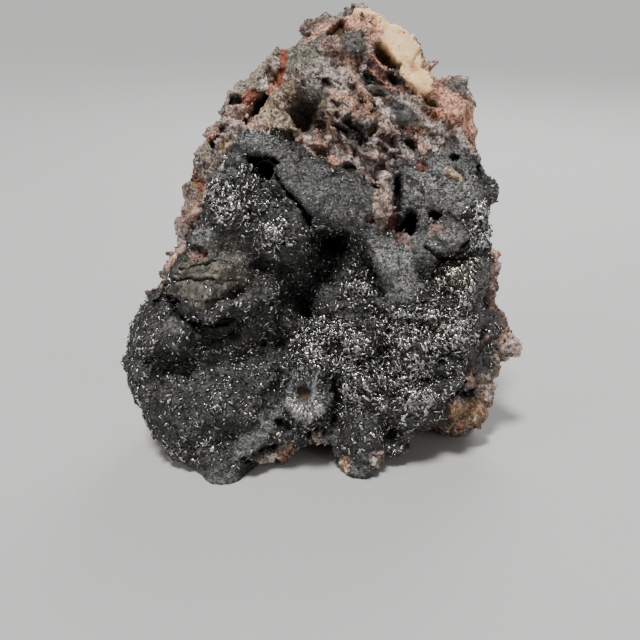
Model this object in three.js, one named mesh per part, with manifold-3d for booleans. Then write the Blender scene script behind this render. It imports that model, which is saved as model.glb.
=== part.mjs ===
// A hand-sized specimen of botryoidal hematite on its matrix of brecciated red rock.
// It is one piece of stone: a crust of round, drusy lobes grown over the front of a rough broken block.
//
// Millimetres. The stone is laid out in the frame of its own face: x to the right, y back into the
// stone and z up the face. The face leans back, so the finished solid is turned to stand as it rests,
// cut flat where it touches the surface, and set with its base centred on the origin, +Z up.
import * as THREE from "three";
import { ImprovedNoise } from "three/addons/math/ImprovedNoise.js";
import { mergeVertices } from "three/addons/utils/BufferGeometryUtils.js";
import Module from "manifold-3d";

const wasm = await Module();
wasm.setup();

// ---- Driving dimensions -------------------------------------------------------------------------

const CELL = 2.05; // spacing of the sampling grid over the face, which sets the size of the facets
const FINE_DEPTH = 6; // depth as far as which that spacing holds; behind it the grid widens steadily
const WIDENING = 0.07; // how much wider each layer of the grid is there than the one before it
const LEAN = THREE.MathUtils.degToRad(22.5); // how far the face leans back from upright
const FACE_HEIGHT = 26.7; // height above the surface of the point where x, y and z are 0
const FILLED = 0.02; // how far inside the surface a grid corner lies once it is filled in
const SLOPE_STEP = 0.15; // how far to either side the slope is taken when a vertex is settled, in cubes
const CUBE_MARGIN = 0.08; // how far inside its own cube a vertex stays, in cubes
const SAMPLED = { low: [-42, -14, -36], high: [40, 44, 68] }; // room that holds the whole stone

// The crust and the block behind it: an outline across the face, and how thick they are through it.
// "middle" is the depth at which the outline is widest, "front" and "back" the thickness each way
// from there, and "round" how far in from the outline the edge is still curving.
const CRUST = { middle: 3.5, front: 3.6, back: 5, round: 6 };
const MATRIX = { middle: 12, front: 10.5, back: 22, round: 17 };
const UNDERSIDE_GAP = 2.6; // clearance of the hollowed underside above the surface, between its feet

const CRUST_OUTLINE = [
  [-16.2, 35.4], [-19.9, 31.3], [-22.1, 25.8], [-25, 15], [-29.5, 7.7], [-33.8, 0.9], [-35.7, -5.5],
  [-35.3, -11], [-32.8, -17.5], [-28.6, -23.4], [-22.5, -28.2], [-18, -30], [-12.5, -27.5],
  [-4, -23.6], [1, -22.3], [4.6, -27], [8.5, -28.6], [11.5, -25.5], [15, -22.5], [20, -19.8],
  [25.4, -15.5], [28.2, -9.2], [29.5, -1.8], [30.8, 8], [31.2, 20], [30, 30], [26, 33.5],
  [18, 32.5], [8, 30.5], [-3.7, 33], [-10.7, 36.5],
];
const MATRIX_OUTLINE = [
  [6, 60.6], [11.6, 58.4], [16.4, 54], [20.8, 49], [27, 45.2], [30, 40], [29.6, 34],
  [31.2, 27], [31.8, 15.4], [32.8, 4], [33.7, -8], [32, -16.5], [28.5, -22], [21.2, -21.2],
  [16.5, -24.5], [8.9, -29.3], [1, -25.5], [-8.5, -28], [-15.4, -29.4], [-23.5, -28],
  [-31, -22.5], [-34.2, -14], [-33.6, -4], [-29.6, 7], [-26, 15], [-24.6, 24], [-22.2, 34],
  [-18, 42], [-13, 47.2], [-8, 52.2], [-1, 56.8],
];

// Rounded masses as [x, y, z, half width, half depth, half height, turn in the face in degrees].
const LOBES = [
  // the great lobe at the upper left: its bulging right side, its crown and its left slope
  [-6.8, -0.6, 15.6, 6.2, 8, 6.6, 0],
  [-14.2, 0.8, 20.2, 7.4, 7.6, 7.6, 0],
  [-18.6, 3.2, 14.6, 4.8, 6.4, 6, 0],
  // the banded lobe below it, in two lips, and the small lobe at its right
  [-19.6, -0.2, 9, 7.8, 7.4, 3.7, 6],
  [-20, -1, 3.8, 7, 7.6, 4.4, -8],
  [-12.4, 0.8, 3.6, 6.6, 7.6, 5.6, 0],
  // the round lobe at the left edge, with a valley to its right that runs down from the recess
  [-27, 1.4, -2.6, 7.2, 7.2, 6, 6],
  [-30.4, 3, -9, 4.6, 6.6, 6, 0],
  // the broad lobe of the lower left, and the ridge that runs from its spur up to the rosette
  [-24.4, 2.6, -17.2, 8.8, 7, 6, -24],
  [-15.6, 2.4, -15.4, 8, 7, 6, 10],
  [-12.4, 1.4, -22.8, 7.4, 5.4, 2.5, 32],
  [-18, 1.8, -27.2, 4.4, 5, 3.6, 0],
  [-6.2, 1.4, -18.6, 3, 5, 4.4, -10],
  // the cluster of bright lobes at the lower right
  [7.2, -0.6, -3.4, 5.3, 6.2, 4.6, 0],
  [-0.8, 2.2, -5, 3.6, 5.6, 3.6, 0],
  [2.6, 1.2, -9.8, 2.9, 5.4, 3.5, 0],
  [7.5, 0, -11.4, 5, 6, 4.4, 0],
  [16.8, 0, 2.2, 5.6, 6, 4, 0],
  [16.2, -1, -5.4, 5.8, 6.4, 5, 0],
  [15.4, 0.2, -14.2, 6.6, 6, 4.8, 8],
  [23.4, 1.6, -1.8, 5.2, 6, 6.2, 0],
  [22.6, 2.4, -11.4, 4.6, 6, 5.4, 0],
  // the right-hand spur under them
  [7.6, 1.2, -21, 4.4, 5.2, 6.8, 4],
  // the rosette between the two lower lobes
  [-2.4, -1.2, -13.4, 4.6, 5.8, 5.4, 0],
];

// Masses with a duller broken surface: the shelf across the middle, and the knobs to its right.
const SHELVES = [
  [-13.4, 0, 30.6, 7.6, 7, 4, -22],
  [-5.8, -1.6, 25.6, 6.8, 7.4, 4.4, -42],
  [0.4, -2.8, 20.6, 6.2, 7.4, 4.8, -34],
  [3.6, -2.4, 19.4, 4.6, 7.2, 4.2, -8],
  [1.4, 1, 25.4, 8.2, 6.6, 4.8, -16],
  [8.6, -0.6, 18.6, 4.6, 6.6, 5.6, 18],
  [12.2, 0.8, 9.6, 4.8, 6.2, 9.4, 26],
  [20.4, 3.8, 25.8, 9.8, 6.4, 7.2, -8],
  [26, 2.6, 19, 5, 6.6, 7.6, 0],
  [17.6, 0.8, 13, 6.8, 6.4, 4.4, 0],
  [22.8, -2, 14.4, 4.4, 4.8, 2.7, 0],
  [31, 4, 24, 2.2, 2.6, 2.4, 0],
  [26, 3.4, 8, 5, 6.2, 5.6, 0],
];

// The broken rock above and behind the crust, and the feet that it stands on.
const BLOCKS = [
  [5.6, 6.2, 38.4, 15.5, 9.4, 11, 0],
  [4.4, 9.4, 51.6, 7, 8, 7, -24],
  [15.2, 3.4, 48.8, 10.6, 4.4, 2.8, -47],
  [23.4, 7.4, 37.6, 6.2, 8, 6.4, 0],
  [-13.8, 8.6, 40.4, 12.4, 5.6, 3.2, 52],
  [-22.4, 10.4, 21, 2.8, 6, 9.6, -8],
  [30.6, 12, -2, 3.6, 8, 9, 0],
  [27.2, 15.5, -16, 5, 6.5, 5.2, 0],
  [13.6, 5.6, -24.2, 4.2, 3.2, 2.4, 30],
  [-8.5, 7.2, -24.4, 7, 4.2, 2.8, 14],
];
const FEET = [
  [-17.9, 3.2, -29.6, 4, 4.6, 3.4, 0],
  [7.8, 3.4, -29.3, 3.2, 4.2, 3.4, 0],
  [26.5, 17, -20.4, 5, 6, 4, 0],
  [-16, 30, -15.4, 7, 6, 5, 0],
  [9, 31, -14.6, 6, 5.5, 5, 0],
];

// Lobes that grew inside the central recess, well behind the rest of the crust.
const INNER_LOBES = [
  [5.6, 6.6, 6.6, 4.7, 6.8, 5, 0],
  [1.6, 9.4, 10.6, 3.4, 5, 3.6, 0],
  [1.2, 7.6, 3.2, 3.6, 5, 3.4, 0],
];

// Hollows: the deep recess and valleys between the lobes, then the smaller vugs, clefts and holes.
const RECESSES = [
  [0.6, -1, 11.2, 3.6, 13, 5, -8],
  [-3.2, -1, 3.4, 3.2, 9.8, 5, 10],
  [2.2, -1, 14.2, 4, 12.5, 2.4, 0],
  [10, -3, 8, 1.3, 7, 5.4, 26],
  [-9.4, -4, -4.6, 9.6, 8, 2.9, 24],
  [-23.6, -4, -8.8, 7.6, 6.8, 1.6, 6],
  [2.6, -4, -15, 1.5, 6.6, 6.4, 10],
  [-7.6, -5, -12.6, 1.4, 4.6, 4.4, -12],
  [-15, -9, 12.2, 9.5, 5, 1.3, 6],
  [6.6, -8, -7.4, 6, 5, 1.1, 0],
  [17, -8.6, -9.6, 6.4, 5, 1.1, 6],
  [14, -7.6, -0.9, 6.4, 4.4, 1, -8],
  [11.4, -5.6, -7.6, 0.9, 5, 5.5, 4],
];
const HOLES = [
  [-2.4, -3, 36.4, 4.3, 6, 3.6, -20],
  [12, -0.5, 44.2, 4.4, 4.6, 1.9, -42],
  [-14, 3.5, 37.6, 6.4, 6, 1.5, 44],
  [-20.6, 4, 30.6, 4, 5, 1.3, 55],
  [-9.3, -1, 26.6, 2.6, 8, 1.9, -10],
  [16, -4, 17.4, 2.3, 8, 2.9, 8],
  [20.8, -4, 19, 2.2, 6.4, 1.7, -8],
  [13.8, -5.6, 20.4, 1.3, 5.6, 6, 10],
  [3.2, 0, 53.6, 2.4, 4, 1.9, 10],
  [-1.5, -1, -23.4, 2.4, 5, 1.6, 0],
  [12.9, -0.5, -20.6, 2.2, 6, 1.5, 20],
  [23.4, -2.6, 10.6, 4, 4.4, 1.1, 0],
  [-24.6, -3.4, 2.4, 5, 5, 1.2, -42],
  [-19.4, -3.4, -1.2, 4.6, 5, 1.2, -10],
  [-14.4, -6.6, 5.4, 5, 4, 0.9, 34],
];

// Planes along which the back of the block broke away: the way each one faces, and its distance.
const BREAKS = [
  { facing: [0.22, 1, 0.3], distance: 33 },
  { facing: [-0.8, 0.75, 0.1], distance: 32.5 },
  { facing: [0.85, 0.6, -0.1], distance: 36.5 },
  { facing: [-0.25, 0.7, 0.8], distance: 51 },
  { facing: [0.5, 0.5, 0.75], distance: 51.5 },
  { facing: [0.1, 0.85, -0.55], distance: 35.5 },
];

// How far each kind of surface is roughened, and over what distance.
const ROUGH = {
  beads: { size: 5.6, height: 1 }, // the small beads all over a botryoidal lobe
  chips: { size: 8.4, height: 4.2 }, // conchoidal chips out of the broken rock
  grain: { size: 5, height: 1.1 }, // unevenness at the scale of the facets
};
const BLEND = { lobes: 0.9, crust: 2.2, blocks: 2.6, recess: 1.4, holes: 0.7 }; // fillet radii

// ---- Distances ----------------------------------------------------------------------------------
// Each function gives a signed distance in millimetres, negative inside.

function smoothUnion(a, b, radius) {
  const share = Math.max(radius - Math.abs(a - b), 0) / radius;
  return Math.min(a, b) - (share * share * radius) / 4;
}

function smoothCut(solid, hollow, radius) {
  return -smoothUnion(-solid, hollow, radius);
}

// A function that gives the distance to an ellipsoid stated as in the tables above.
function ellipsoid([cx, cy, cz, width, depth, height, turn]) {
  const cos = Math.cos(THREE.MathUtils.degToRad(turn));
  const sin = Math.sin(THREE.MathUtils.degToRad(turn));
  return (x, y, z) => {
    const across = ((x - cx) * cos + (z - cz) * sin) / width;
    const through = (y - cy) / depth;
    const along = ((z - cz) * cos - (x - cx) * sin) / height;
    const scaled = Math.hypot(across, through, along);
    const steepness = Math.hypot(across / width, through / depth, along / height);
    return steepness ? (scaled * (scaled - 1)) / steepness : -Math.min(width, depth, height);
  };
}

function union(parts, radius) {
  return (x, y, z) => parts.reduce((d, part) => smoothUnion(d, part(x, y, z), radius), 1e3);
}

// A function that gives how far a point lies inside a smooth closed outline.
function insideOutline(points, samples = 120) {
  const curve = new THREE.CatmullRomCurve3(
    points.map(([x, z]) => new THREE.Vector3(x, 0, z)), true, "catmullrom", 0.5);
  const line = curve.getPoints(samples).slice(0, samples);
  return (x, z) => {
    let nearest = Infinity;
    let inside = false;
    line.forEach((a, i) => {
      const b = line[(i + 1) % samples];
      const [ex, ez, px, pz] = [b.x - a.x, b.z - a.z, x - a.x, z - a.z];
      const share = THREE.MathUtils.clamp((px * ex + pz * ez) / (ex * ex + ez * ez), 0, 1);
      nearest = Math.min(nearest, Math.hypot(px - ex * share, pz - ez * share));
      if (a.z > z !== b.z > z && px < (ex * pz) / ez) inside = !inside;
    });
    return inside ? nearest : -nearest;
  };
}

// A body with an outline across the face and a rounded edge all the way round it.
function pillow(outline, { middle, front, back, round }) {
  const inset = insideOutline(outline);
  return (x, y, z) => {
    const reach = y < middle ? front : back;
    const toEdge = Math.max(0, 1 - inset(x, z) / round);
    return (Math.hypot(toEdge, (y - middle) / reach) - 1) * Math.min(reach, round);
  };
}

// ---- Roughness ----------------------------------------------------------------------------------

const noise = new ImprovedNoise();

// A repeatable random point in each cell of a lattice, and the distance to the nearest one.
function nearestSeed(x, y, z) {
  const [i, j, k] = [Math.floor(x), Math.floor(y), Math.floor(z)];
  let nearest = Infinity;
  for (let a = i - 1; a <= i + 1; a++)
    for (let b = j - 1; b <= j + 1; b++)
      for (let c = k - 1; c <= k + 1; c++) {
        const [u, v, w] = [a * 1.37 + 0.31, b * 1.71 + 0.53, c * 1.13 + 0.77];
        const seed = [
          a + 0.5 + 0.45 * noise.noise(u, v, w),
          b + 0.5 + 0.45 * noise.noise(v, w, u),
          c + 0.5 + 0.45 * noise.noise(w, u, v),
        ];
        nearest = Math.min(nearest, Math.hypot(x - seed[0], y - seed[1], z - seed[2]));
      }
  return nearest;
}

function beads(x, y, z) {
  const { size, height } = ROUGH.beads;
  return height * (nearestSeed(x / size, y / size, z / size) - 0.45);
}

function chips(x, y, z) {
  const { size, height } = ROUGH.chips;
  const bend = noise.noise(x / size + 7, y / size, z / size);
  return height * (0.55 - nearestSeed(x / size + bend * 0.4, y / size, z / size + bend * 0.3));
}

function grain(x, y, z) {
  const { size, height } = ROUGH.grain;
  return height * noise.noise(x / size, y / size + 3, z / size);
}

// ---- The stone ----------------------------------------------------------------------------------

const heightAbove = (y, z) => FACE_HEIGHT + z * Math.cos(LEAN) - y * Math.sin(LEAN);

const slab = pillow(CRUST_OUTLINE, CRUST);
const lobes = union(LOBES.map(ellipsoid), BLEND.lobes);
const shelves = union(SHELVES.map(ellipsoid), BLEND.lobes);
const block = pillow(MATRIX_OUTLINE, MATRIX);
const blocks = union(BLOCKS.map(ellipsoid), BLEND.blocks);
const feet = union(FEET.map(ellipsoid), BLEND.blocks);
const innerLobes = union(INNER_LOBES.map(ellipsoid), BLEND.lobes);
const recesses = union(RECESSES.map(ellipsoid), BLEND.recess);
const holes = union(HOLES.map(ellipsoid), BLEND.holes);
const breaks = BREAKS.map(({ facing, distance }) => ({
  facing: new THREE.Vector3(...facing).normalize(), distance,
}));

function crust(x, y, z) {
  const round = smoothUnion(lobes(x, y, z), slab(x, y, z), BLEND.crust) + beads(x, y, z);
  return smoothUnion(round, shelves(x, y, z) + grain(x, y, z) / 3, BLEND.lobes);
}

function matrix(x, y, z) {
  let rock = smoothUnion(block(x, y, z), blocks(x, y, z), BLEND.blocks);
  for (const { facing, distance } of breaks)
    rock = Math.max(rock, x * facing.x + y * facing.y + z * facing.z - distance);
  rock = Math.max(rock, UNDERSIDE_GAP - heightAbove(y, z));
  return smoothUnion(rock, feet(x, y, z), BLEND.blocks) + chips(x, y, z) + grain(x, y, z);
}

function stone(x, y, z) {
  const grown = smoothUnion(crust(x, y, z), matrix(x, y, z), BLEND.recess);
  const opened = smoothCut(grown, recesses(x, y, z), BLEND.recess);
  const lined = smoothUnion(opened, innerLobes(x, y, z), BLEND.lobes);
  return smoothCut(lined, holes(x, y, z), BLEND.holes);
}

// ---- From distances to a mesh -------------------------------------------------------------------

// Where a place in the grid, counted in cubes along x, y and z, lies in the stone. The cubes are
// even over the face and grow with depth, so that the plain back of the stone has fewer facets.
function placeInGrid(i, j, k) {
  const { low, high } = SAMPLED;
  const fineLayers = (FINE_DEPTH - low[1]) / CELL;
  const layersBehind = Math.max(0, j - fineLayers);
  const scale = Math.exp(WIDENING * layersBehind);
  const depth = Math.min(j, fineLayers) + (scale - 1) / WIDENING;
  const spread = (axis, n) =>
    (low[axis] + high[axis]) / 2 + (n * CELL - (high[axis] - low[axis]) / 2) * scale;
  return [spread(0, i), low[1] + depth * CELL, spread(2, k)];
}

// The distances at the corners of the grid's cubes, as a plain array with x running fastest.
function sampleGrid(distance) {
  const { low, high } = SAMPLED;
  const count = low.map((start, axis) => Math.ceil((high[axis] - start) / CELL) + 1);
  while (placeInGrid(0, count[1] - 2, 0)[1] > high[1]) count[1]--;
  const values = new Float64Array(count[0] * count[1] * count[2]);
  let n = 0;
  for (let k = 0; k < count[2]; k++)
    for (let j = 0; j < count[1]; j++)
      for (let i = 0; i < count[0]; i++) values[n++] = distance(...placeInGrid(i, j, k));
  return { count, values, strides: [1, count[0], count[0] * count[1]] };
}

// Where two opposite corners of a grid square are inside and the other two outside, the surface
// could join either way and two sheets would meet along one edge. The outside corner nearest to the
// surface is filled in. Filling only ever adds stone, so it comes to an end.
function settleSquares({ values, strides }) {
  let filled = true;
  while (filled) {
    filled = false;
    for (const [s, t] of [[0, 1], [0, 2], [1, 2]]) {
      const corners = [0, strides[s], strides[s] + strides[t], strides[t]];
      for (let n = 0; n + corners[2] < values.length; n++) {
        const inside = corners.map((c) => values[n + c] < 0);
        if (inside[0] !== inside[2] || inside[1] !== inside[3] || inside[0] === inside[1]) continue;
        const outside = corners.filter((c) => values[n + c] >= 0);
        const nearest = values[n + outside[0]] < values[n + outside[1]] ? outside[0] : outside[1];
        values[n + nearest] = -FILLED;
        filled = true;
      }
    }
  }
}

// Moves a place in the grid on to the surface, without leaving the cube that it lies in.
function settle(field, cube, place) {
  const value = field(...place);
  const slope = [0, 1, 2].map((axis) => {
    const [ahead, behind] = [SLOPE_STEP, -SLOPE_STEP].map((step) =>
      field(...place.map((c, t) => (t === axis ? c + step : c))));
    return (ahead - behind) / (2 * SLOPE_STEP);
  });
  const steepness = slope.reduce((sum, part) => sum + part * part, 0);
  return place.map((c, t) => THREE.MathUtils.clamp(
    c - (value * slope[t]) / steepness, cube[t] + CUBE_MARGIN, cube[t] + 1 - CUBE_MARGIN));
}

// One vertex in each cube that the surface crosses, settled on the surface from the mean of its
// crossings, and one four-sided face round each grid edge that it crosses.
function surfaceNet({ count, values, strides }, distance) {
  const field = (i, j, k) => distance(...placeInGrid(i, j, k));
  const vertexOf = new Map();
  const positions = [];
  const index = [];
  const cubeCorners = [0, 1, 2, 3, 4, 5, 6, 7].map((c) => [c & 1, (c >> 1) & 1, c >> 2]);

  const addVertex = (i, j, k, n) => {
    const sum = [0, 0, 0];
    let crossings = 0;
    for (const from of cubeCorners)
      for (const axis of [0, 1, 2]) {
        if (from[axis]) continue;
        const start = n + from[0] * strides[0] + from[1] * strides[1] + from[2] * strides[2];
        const [a, b] = [values[start], values[start + strides[axis]]];
        if (a < 0 === b < 0) continue;
        for (const t of [0, 1, 2]) sum[t] += from[t] + (t === axis ? a / (a - b) : 0);
        crossings++;
      }
    if (!crossings) return;
    vertexOf.set(n, positions.length / 3);
    const cube = [i, j, k];
    const middle = cube.map((cell, t) => cell + sum[t] / crossings);
    positions.push(...placeInGrid(...settle(field, cube, middle)));
  };

  for (let k = 0; k < count[2] - 1; k++)
    for (let j = 0; j < count[1] - 1; j++)
      for (let i = 0; i < count[0] - 1; i++)
        addVertex(i, j, k, i * strides[0] + j * strides[1] + k * strides[2]);

  for (const axis of [0, 1, 2]) {
    const [s, t] = [strides[(axis + 1) % 3], strides[(axis + 2) % 3]];
    for (let n = s + t; n + strides[axis] < values.length; n++) {
      const leaving = values[n] < 0;
      if (leaving === values[n + strides[axis]] < 0) continue;
      const quad = [n - s - t, n - t, n, n - s].map((cell) => vertexOf.get(cell));
      const [a, b, c, d] = leaving ? quad : quad.reverse();
      index.push(a, b, c, a, c, d);
    }
  }
  const geometry = new THREE.BufferGeometry();
  geometry.setAttribute("position", new THREE.Float32BufferAttribute(positions, 3));
  return geometry.setIndex(index);
}

function toSolid(geometry) {
  const bare = geometry.clone();
  bare.deleteAttribute("normal");
  bare.deleteAttribute("uv");
  const merged = mergeVertices(bare);
  return new wasm.Manifold(new wasm.Mesh({
    numProp: 3,
    vertProperties: merged.getAttribute("position").array,
    triVerts: new Uint32Array(merged.index.array),
  }));
}

function toGeometry(solid) {
  const mesh = solid.getMesh();
  const geometry = new THREE.BufferGeometry();
  geometry.setAttribute("position", new THREE.BufferAttribute(mesh.vertProperties, 3));
  geometry.setIndex(new THREE.BufferAttribute(mesh.triVerts, 1));
  return geometry;
}

// The stone turned to stand as it rests, with its feet cut flat by the surface it stands on.
function standingStone() {
  const grid = sampleGrid(stone);
  settleSquares(grid);
  const turned = surfaceNet(grid, stone).rotateX(-LEAN).translate(0, 0, FACE_HEIGHT);
  const room = 200;
  const ground = new THREE.BoxGeometry(room, room, room).translate(0, 0, -room / 2);
  const geometry = toGeometry(toSolid(turned).subtract(toSolid(ground)));
  geometry.computeBoundingBox();
  const centre = geometry.boundingBox.getCenter(new THREE.Vector3());
  geometry.translate(-centre.x, -centre.y, 0);
  geometry.computeVertexNormals();
  return geometry;
}

const hematite = new THREE.MeshStandardMaterial({ color: 0x3b3a3c, roughness: 0.45, metalness: 0.5 });
const specimen = new THREE.Mesh(standingStone(), hematite);
specimen.name = "hematite_specimen";

const group = new THREE.Group();
group.add(specimen);

export default group;
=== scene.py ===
"""A botryoidal hematite specimen: drusy lobes of blade-like crystals over a broken red matrix."""

import math
from typing import NamedTuple

import bpy
import numpy as np
from bpy.props import FloatProperty, FloatVectorProperty, IntProperty, PointerProperty
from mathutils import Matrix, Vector


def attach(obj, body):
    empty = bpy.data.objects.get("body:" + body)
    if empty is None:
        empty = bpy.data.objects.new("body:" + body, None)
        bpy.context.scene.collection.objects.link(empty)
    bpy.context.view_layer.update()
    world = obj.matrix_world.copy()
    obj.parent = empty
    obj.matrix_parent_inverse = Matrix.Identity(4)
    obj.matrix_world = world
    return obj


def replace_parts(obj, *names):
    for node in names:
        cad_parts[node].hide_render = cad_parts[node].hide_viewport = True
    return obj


bl_info = {
    "name": "Botryoidal hematite specimen",
    "version": (1, 0, 0),
    "blender": (4, 5, 0),
    "location": "View3D > Sidebar > Specimen",
    "description": "Builds a drusy hematite specimen on its matrix around a packed frame",
    "category": "Add Mesh",
}

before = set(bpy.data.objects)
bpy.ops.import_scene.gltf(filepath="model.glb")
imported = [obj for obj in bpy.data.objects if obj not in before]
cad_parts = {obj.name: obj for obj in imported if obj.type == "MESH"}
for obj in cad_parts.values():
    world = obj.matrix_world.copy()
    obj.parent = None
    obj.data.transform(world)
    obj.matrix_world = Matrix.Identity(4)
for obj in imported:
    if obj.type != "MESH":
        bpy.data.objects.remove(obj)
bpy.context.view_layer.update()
STONE_NODE = "hematite_specimen"

MM = 0.001

# The face of the stone leans back. Places on it are given in its own frame, in millimetres: x to
# the right, y back into the stone and z up the face, from a point in the middle of the face.
LEAN = math.radians(22.5)
FACE_MIDDLE = (0.0, -13.26, 26.7)
MIDDLE_DEPTH = 16.0  # where the front half of the surface ends, back from the face
KEY_DIRECTION = (-0.14, -0.36, 0.92)
FABRIC_TURN = math.radians(-48)  # the grain of the matrix runs down to the right
LEAF_TURN = math.radians(-30)  # the leaves of the dull crust run down to the right, less steeply

# The height on the face at which the crust ends and the bare matrix above it starts, along x.
CRUST_TOP_X = (-31, -27, -23.4, -20.7, -17.1, -12.6, -8, -5, -3, -1, 4, 9, 12, 14, 19, 26, 31)
CRUST_TOP_Z = (4, 9.5, 16, 22, 28.8, 34, 34.4, 33.3, 30.6, 28.6, 27, 25.4, 25.4, 27.6, 30, 31, 29)
CRUST_DEPTH = 5.2  # how far back from the face the crust reaches round the sides
CRUST_EDGE = 2.4  # how far its edge wanders
CRUST_LEAST = 0.02  # the share of crust from which a square of the surface counts as crust

FRONT_FADE = (14.0, 8.0)  # how far back what is placed on the face ends, and where it is whole
BARE_UNDERSIDE = (3.4, -21.5)  # the matrix is bare where it is both further back and lower
RECESS = (1.5, 8.0, 9.0)  # the deep recess under the shelf: x, z and radius
BAND_PITCH = 1.7  # from one thin layer of the banded lobe to the next

# Areas of the face as (x, z, half width, half height, turn in degrees).
DULL_AREAS = (
    (-11.6, 31.4, 6.4, 3.6, -14),
    (-17.4, 27.4, 3.0, 4.6, -50),
    (-6.6, 27.6, 5.0, 3.6, -30),
    (-1.6, 23.6, 7.4, 5.0, -42),
    (4.6, 21.4, 5.6, 5.6, -12),
    (9.4, 20.6, 3.8, 6.0, 10),
    (12.6, 10.4, 4.4, 9.0, 26),
    (18.6, 13.6, 6.4, 3.6, 0),
    (20.6, 24.0, 9.8, 7.6, 0),
    (23.4, 14.4, 3.4, 3.0, 0),
    (-21.2, 14.8, 2.6, 2.4, 0),
    (-15.6, 12.9, 3.8, 2.2, 0),
    (-26.4, -0.6, 2.4, 1.3, -20),
    (-8.4, -17.1, 2.8, 2.6, 30),
    (-13.3, -22.9, 4.4, 1.8, 35),
    (-18.6, -28.2, 3.2, 1.8, 0),
    (2.0, -20.9, 1.2, 2.4, 0),
    (7.5, -27.2, 1.9, 1.6, 0),
    (29.8, 6.0, 1.6, 6.0, 0),
)
LIGHT_AREAS = (
    (-21.1, 15.2, 2.0, 1.7, 0),
    (-17.2, 29.2, 2.8, 2.2, -50),
    (-12.4, 33.4, 4.2, 1.9, -14),
    (22.2, 13.8, 3.0, 2.1, 0),
    (12.8, 9.6, 3.4, 6.4, 26),
    (-2.4, -16.2, 3.9, 2.9, 0),
    (7.5, -27.0, 1.7, 1.5, 0),
    (22.0, 24.0, 6.0, 4.0, 0),
)
BARE_AREAS = (
    (-22.3, 12.0, 2.3, 1.2, -8),
    (11.6, 20.4, 2.2, 5.2, 6),
    (9.6, 17.8, 2.0, 1.1, 20),
    (14.2, 17.6, 1.3, 5.0, 16),
    (20.8, 16.2, 1.7, 0.9, 25),
    (24.4, 26.4, 2.4, 1.1, -25),
    (18.2, 27.8, 1.5, 1.2, -30),
    (-8.6, -25.0, 4.2, 2.4, 12),
    (-0.2, -22.6, 1.7, 1.4, 0),
    (4.4, -26.4, 1.1, 1.8, 0),
    (11.0, -25.4, 1.9, 2.0, 0),
    (28.6, -9.6, 2.6, 4.6, 0),
    (26.4, -16.6, 3.8, 3.4, 0),
)
BANDED_AREAS = ((-19.8, 7.6, 6.6, 5.6, 0),)
ROSETTE = (-2.4, -13.2, 4.5, 5.0, 0)
ROSETTE_RING = (0.62, 0.42)  # the middle and half width of its raised ring, where its outline is 1
ROSETTE_RAYS = 30
CREAM_AREAS = (
    (15.4, 49.2, 5.4, 2.3, -47),
    (17.8, 44.3, 4.3, 1.9, -50),
    (12.2, 54.4, 2.4, 1.5, -40),
    (8.8, 57.0, 2.8, 1.4, -22),
)
TAN_AREAS = (
    (-11.6, 48.0, 6.4, 2.2, 48),
    (-17.8, 40.8, 5.0, 2.0, 52),
    (-22.0, 34.0, 4.0, 1.7, 66),
    (28.0, 41.0, 1.4, 2.6, 20),
    (13.4, 55.2, 2.0, 1.0, -40),
)
BOXWORK_AREAS = ((7.5, 38.0, 12.5, 9.5, -20), (-9.0, -25.0, 5.0, 3.0, 10))
RUST_AREAS = (
    (-22.3, 12.0, 2.4, 1.3, -8),
    (-23.6, 24.4, 2.0, 5.2, 20),
    (-30.0, 6.0, 1.6, 3.6, -38),
    (31.0, -0.6, 1.8, 4.4, 0),
    (26.2, -17.4, 4.2, 3.4, 0),
    (13.0, -23.4, 3.4, 3.8, -20),
    (-3.6, -25.0, 5.4, 2.0, 8),
    (4.4, -26.2, 1.2, 2.2, 0),
    (24.0, 37.8, 5.0, 2.4, -24),
    (13.0, 33.6, 5.0, 1.0, -38),
)
BRIGHT_DRUSE = (
    (-17.0, 25.0, 4.8, 4.6, 40),
    (-14.8, 21.6, 4.8, 4.4, 0),
    (-7.4, 15.0, 2.6, 3.0, 0),
    (3.6, -4.4, 8.0, 4.8, 0),
    (7.4, -12.6, 4.2, 3.4, 0),
    (18.4, -3.0, 8.4, 7.0, 0),
    (14.8, -13.4, 7.0, 4.8, 0),
    (25.8, 6.8, 4.8, 4.2, 0),
    (28.6, 17.0, 2.4, 4.0, 0),
    (7.2, 6.6, 3.6, 3.4, 0),
)
GOLDEN_AREAS = ((24.0, 9.0, 4.0, 4.0, 0), (-18.0, 9.0, 6.0, 4.0, 0))

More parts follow.
